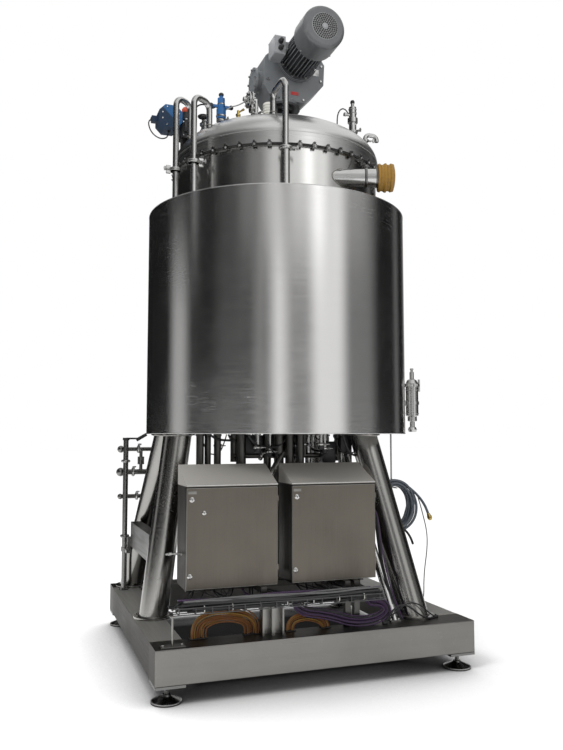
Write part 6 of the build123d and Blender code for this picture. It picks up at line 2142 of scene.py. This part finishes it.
# Studio
@dataclass
class Studio:
    """Floor, light, dark screens for the metal to mirror, and the camera."""

    camera_place: Point = (-1.814, -5.277, 1.513)
    camera_tilt: float = 94.48
    camera_turn: float = -19.67
    lens: float = 36.09
    screen_radius: float = 8.0
    screen_height: float = 9.0
    # Reach and tones of the shadows painted into the floor's colour.
    painted_shadow_reach: float = 0.80
    painted_shadow_within: tuple[float, float] = (0.70, 1.02)
    painted_contact_shadow: Colour = (0.03, 0.03, 0.03)
    painted_skid_shadow: Colour = (0.025, 0.025, 0.025)
    unlit: float = 0.012
    overhead: float = 1.0
    room_light: float = 1.16
    panels: tuple[tuple[float, float, float, float, float, float], ...] = (
        (164.0, 9.0, 7.0, 0.50, 0.0, 4.4), (-107.0, 5.5, 7.0, 0.98, 0.0, 4.4),
        (-110.0, 9.0, 8.0, 0.75, 4.6, 9.0), (-66.0, 14.0, 7.0, 0.98, 0.0, 9.0),
        (-92.0, 12.0, 8.0, 0.26, 0.0, 4.4), (-84.0, 14.0, 6.0, 0.95, 4.6, 9.0),
        (-36.0, 15.0, 8.0, 0.20, 0.0, 4.4), (-40.0, 16.0, 14.0, 0.42, 4.6, 9.0),
        (-143.0, 14.0, 8.0, 0.06, 0.0, 9.0), (-122.0, 4.0, 6.0, 0.26, 0.0, 4.4),
        (-128.0, 10.0, 8.0, 0.20, 4.6, 9.0), (180.0, 2.5, 3.0, 0.30, 4.6, 9.0),
        (15.0, 4.0, 5.0, 0.16, 0.0, 9.0), (60.0, 16.0, 12.0, 0.60, 0.0, 9.0),
        (170.0, 46.0, 26.0, -0.56, 9.5, 16.0),
    )

    def camera(self) -> None:
        """The camera at the photograph's place and angle."""
        data = bpy.data.cameras.new("camera")
        data.lens = self.lens
        data.sensor_width = 36.0
        camera = linked("camera", data)
        camera.location = self.camera_place
        camera.rotation_euler = (np.radians(self.camera_tilt), 0.0, np.radians(self.camera_turn))
        bpy.context.scene.camera = camera

    def build(self) -> None:
        """Make the floor, the screens, the lamps and the world."""
        self.floor()
        self.mirrored_screens()
        self.lamp("key_lamp", place=(-4.4, -3.4, 7.0), aim=(0.0, 0.0, 3.6), size=2.2, power=220.0)
        self.lamp("top_lamp", place=(-0.6, 1.6, 8.2), aim=(0.0, 0.0, 3.8), size=3.0, power=150.0)
        self.world()
        bpy.context.scene.view_settings.view_transform = "Standard"

    def flat(self, name: str, grid: Array) -> bpy.types.Object:
        """An open sheet of four-sided faces over a grid of points, outside the object.

        Args:
            name: name of the object.
            grid: points, shape (rows, columns, 3).

        Returns:
            The new object.
        """
        rows, columns, _ = grid.shape
        index = np.arange(rows * columns).reshape(rows, columns)
        faces = np.stack(
            [index[:-1, :-1], index[:-1, 1:], index[1:, 1:], index[1:, :-1]], -1,
        ).reshape(-1, 4)
        mesh = bpy.data.meshes.new(name)
        mesh.from_pydata(grid.reshape(-1, 3).tolist(), [], faces.tolist())
        mesh.update()
        made = linked(name, mesh)
        return made

    def floor(self) -> None:
        """A wide pale floor that keeps the shadow and melts into the white background, with a painted
        contact shadow round the skid and a painted dark shadow within its outline.
        """
        span = np.linspace(-60.0, 60.0, 3)
        across, back = np.meshgrid(span, span)
        floor = self.flat("floor", np.stack([across, back, np.zeros_like(across)], axis=-1))
        sheet = Sheet("floor_white")
        sheet.shader.inputs["Specular IOR Level"].default_value = 0.0
        broad = sheet.noise(sheet.place, 0.8)
        pale = sheet.mixed(broad, (0.88, 0.88, 0.88), (0.90, 0.90, 0.90))
        # Painted shadow: the floor's colour darkens to near black where ambient occlusion finds the skid
        # close by.
        occlusion = sheet.node("ShaderNodeAmbientOcclusion", samples=8)
        occlusion.inputs["Distance"].default_value = self.painted_shadow_reach
        share = sheet.ranged(occlusion.outputs["AO"], 0.0, 1.0, 0.12, 0.90)
        # Painted shadow: the floor's colour goes near black within a square under the skid.
        parts = sheet.parts()
        far = sheet.worked("MAXIMUM", *(sheet.worked("ABSOLUTE", parts[axis]) for axis in ("X", "Y")))
        outside = sheet.ranged(far, 0.0, 1.0, *self.painted_shadow_within)
        contact_shadowed = sheet.mixed(share, self.painted_contact_shadow, pale)
        sheet.paint(sheet.mixed(outside, self.painted_skid_shadow, contact_shadowed), sheet.ranged(broad, 0.85, 0.95))
        floor.data.materials.append(sheet.material)

    def mirrored_screens(self) -> None:
        """A dark surround with soft bright panels, which only the metal mirrors.

        The light at azimuth a is the unlit level plus, for each panel, its level times the
        smooth step of (width + edge - |a - middle|) / (2 edge), between the panel's heights.
        A panel lists its middle, half width and edge in degrees, its level and its two heights.
        """
        angle = np.radians(np.arange(0.0, 361.0, 1.0))
        radius = np.array([1.0, 1.0, 1.0, 1.0, 0.99, 0.72, 0.38, 0.001]) * self.screen_radius
        height = np.array([0.0, 4.35, 4.65, self.screen_height, 9.6, 12.6, 14.6, 15.2])
        turn, rise = np.meshgrid(angle, height)
        grid = np.stack([radius[:, None] * np.cos(turn), radius[:, None] * np.sin(turn), rise], axis=-1)
        surround = self.flat("mirrored_surround", grid)
        level = np.where(rise > self.screen_height + 0.1, self.overhead, self.unlit)
        for middle, width, edge, strength, low, high in self.panels:
            away = np.abs((np.degrees(turn) - middle + 180.0) % 360.0 - 180.0)
            share = np.clip((width + edge - away) / (2 * edge), 0.0, 1.0)
            within = (rise >= low - 0.01) & (rise <= high + 0.01)
            level = level + strength * share**2 * (3 - 2 * share) * within
        layer = surround.data.attributes.new("level", "FLOAT", "POINT")
        layer.data.foreach_set("value", level.ravel().astype(np.float32))
        sheet = Sheet("surround_cloth")
        sheet.shader.inputs["Base Color"].default_value = (0.0, 0.0, 0.0, 1.0)
        sheet.shader.inputs["Specular IOR Level"].default_value = 0.0
        sheet.shader.inputs["Emission Color"].default_value = (1.0, 1.0, 1.0, 1.0)
        source = sheet.node("ShaderNodeAttribute", attribute_name="level")
        sheet.join(source.outputs["Fac"], sheet.shader.inputs["Emission Strength"])
        surround.data.materials.append(sheet.material)
        surround.visible_camera = False
        surround.visible_diffuse = False
        surround.visible_transmission = False
        surround.visible_shadow = False

    def lamp(self, name: str, place: Point, aim: Point, size: float, power: float) -> None:
        """A square soft lamp that looks at a point.

        Args:
            name: name of the lamp.
            place: where it stands.
            aim: point that it faces.
            size: side of the square.
            power: watts.
        """
        data = bpy.data.lights.new(name, "AREA")
        data.shape = "SQUARE"
        data.size = size
        data.energy = power
        lamp = linked(name, data)
        toward = np.array(aim) - np.array(place)
        reach = float(np.hypot(toward[0], toward[1]))
        lamp.location = place
        lamp.rotation_euler = (np.arctan2(reach, -toward[2]), 0.0, np.arctan2(-toward[0], toward[1]))
        lamp.visible_camera = False
        lamp.visible_glossy = False

    def world(self) -> None:
        """White where the camera, metal or glass sees it, and a softer light elsewhere."""
        world = bpy.data.worlds.new("studio")
        world.use_nodes = True
        bpy.context.scene.world = world
        tree = world.node_tree
        tree.nodes.clear()
        output = tree.nodes.new("ShaderNodeOutputWorld")
        background = tree.nodes.new("ShaderNodeBackground")
        background.inputs["Color"].default_value = (1.0, 1.0, 1.0, 1.0)
        path = tree.nodes.new("ShaderNodeLightPath")
        seen = path.outputs["Is Camera Ray"]
        for kind in ("Is Glossy Ray", "Is Transmission Ray"):
            either = tree.nodes.new("ShaderNodeMath")
            either.operation = "MAXIMUM"
            tree.links.new(seen, either.inputs[0])
            tree.links.new(path.outputs[kind], either.inputs[1])
            seen = either.outputs[0]
        strength = tree.nodes.new("ShaderNodeMapRange")
        strength.inputs["To Min"].default_value = self.room_light
        strength.inputs["To Max"].default_value = 1.0
        tree.links.new(seen, strength.inputs["Value"])
        tree.links.new(strength.outputs["Result"], background.inputs["Strength"])
        tree.links.new(background.outputs[0], output.inputs["Surface"])


def main() -> None:
    """Build the camera and cords, then the finishes, the sub-assemblies and the studio."""
    logging.basicConfig(level=logging.INFO, format="%(name)s: %(message)s")
    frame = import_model()
    for default in ("Cube", "Camera", "Light"):
        if default in bpy.data.objects:
            bpy.data.objects.remove(bpy.data.objects[default])
    studio = Studio()
    studio.camera()
    cords = Cords()
    cords.hose(frame["nodes"]["hose_connector"])
    cords.arches()
    cords.small()
    dress_nodes(frame["nodes"])
    for assembly in (
        Skid(), Jacket(), Lid(), Drive(), LidFittings(), Cabinets(), Wiring(), SidePipes(), studio,
    ):
        log.info("building %s", type(assembly).__name__)
        assembly.build()


if __name__ == "__main__":
    main()
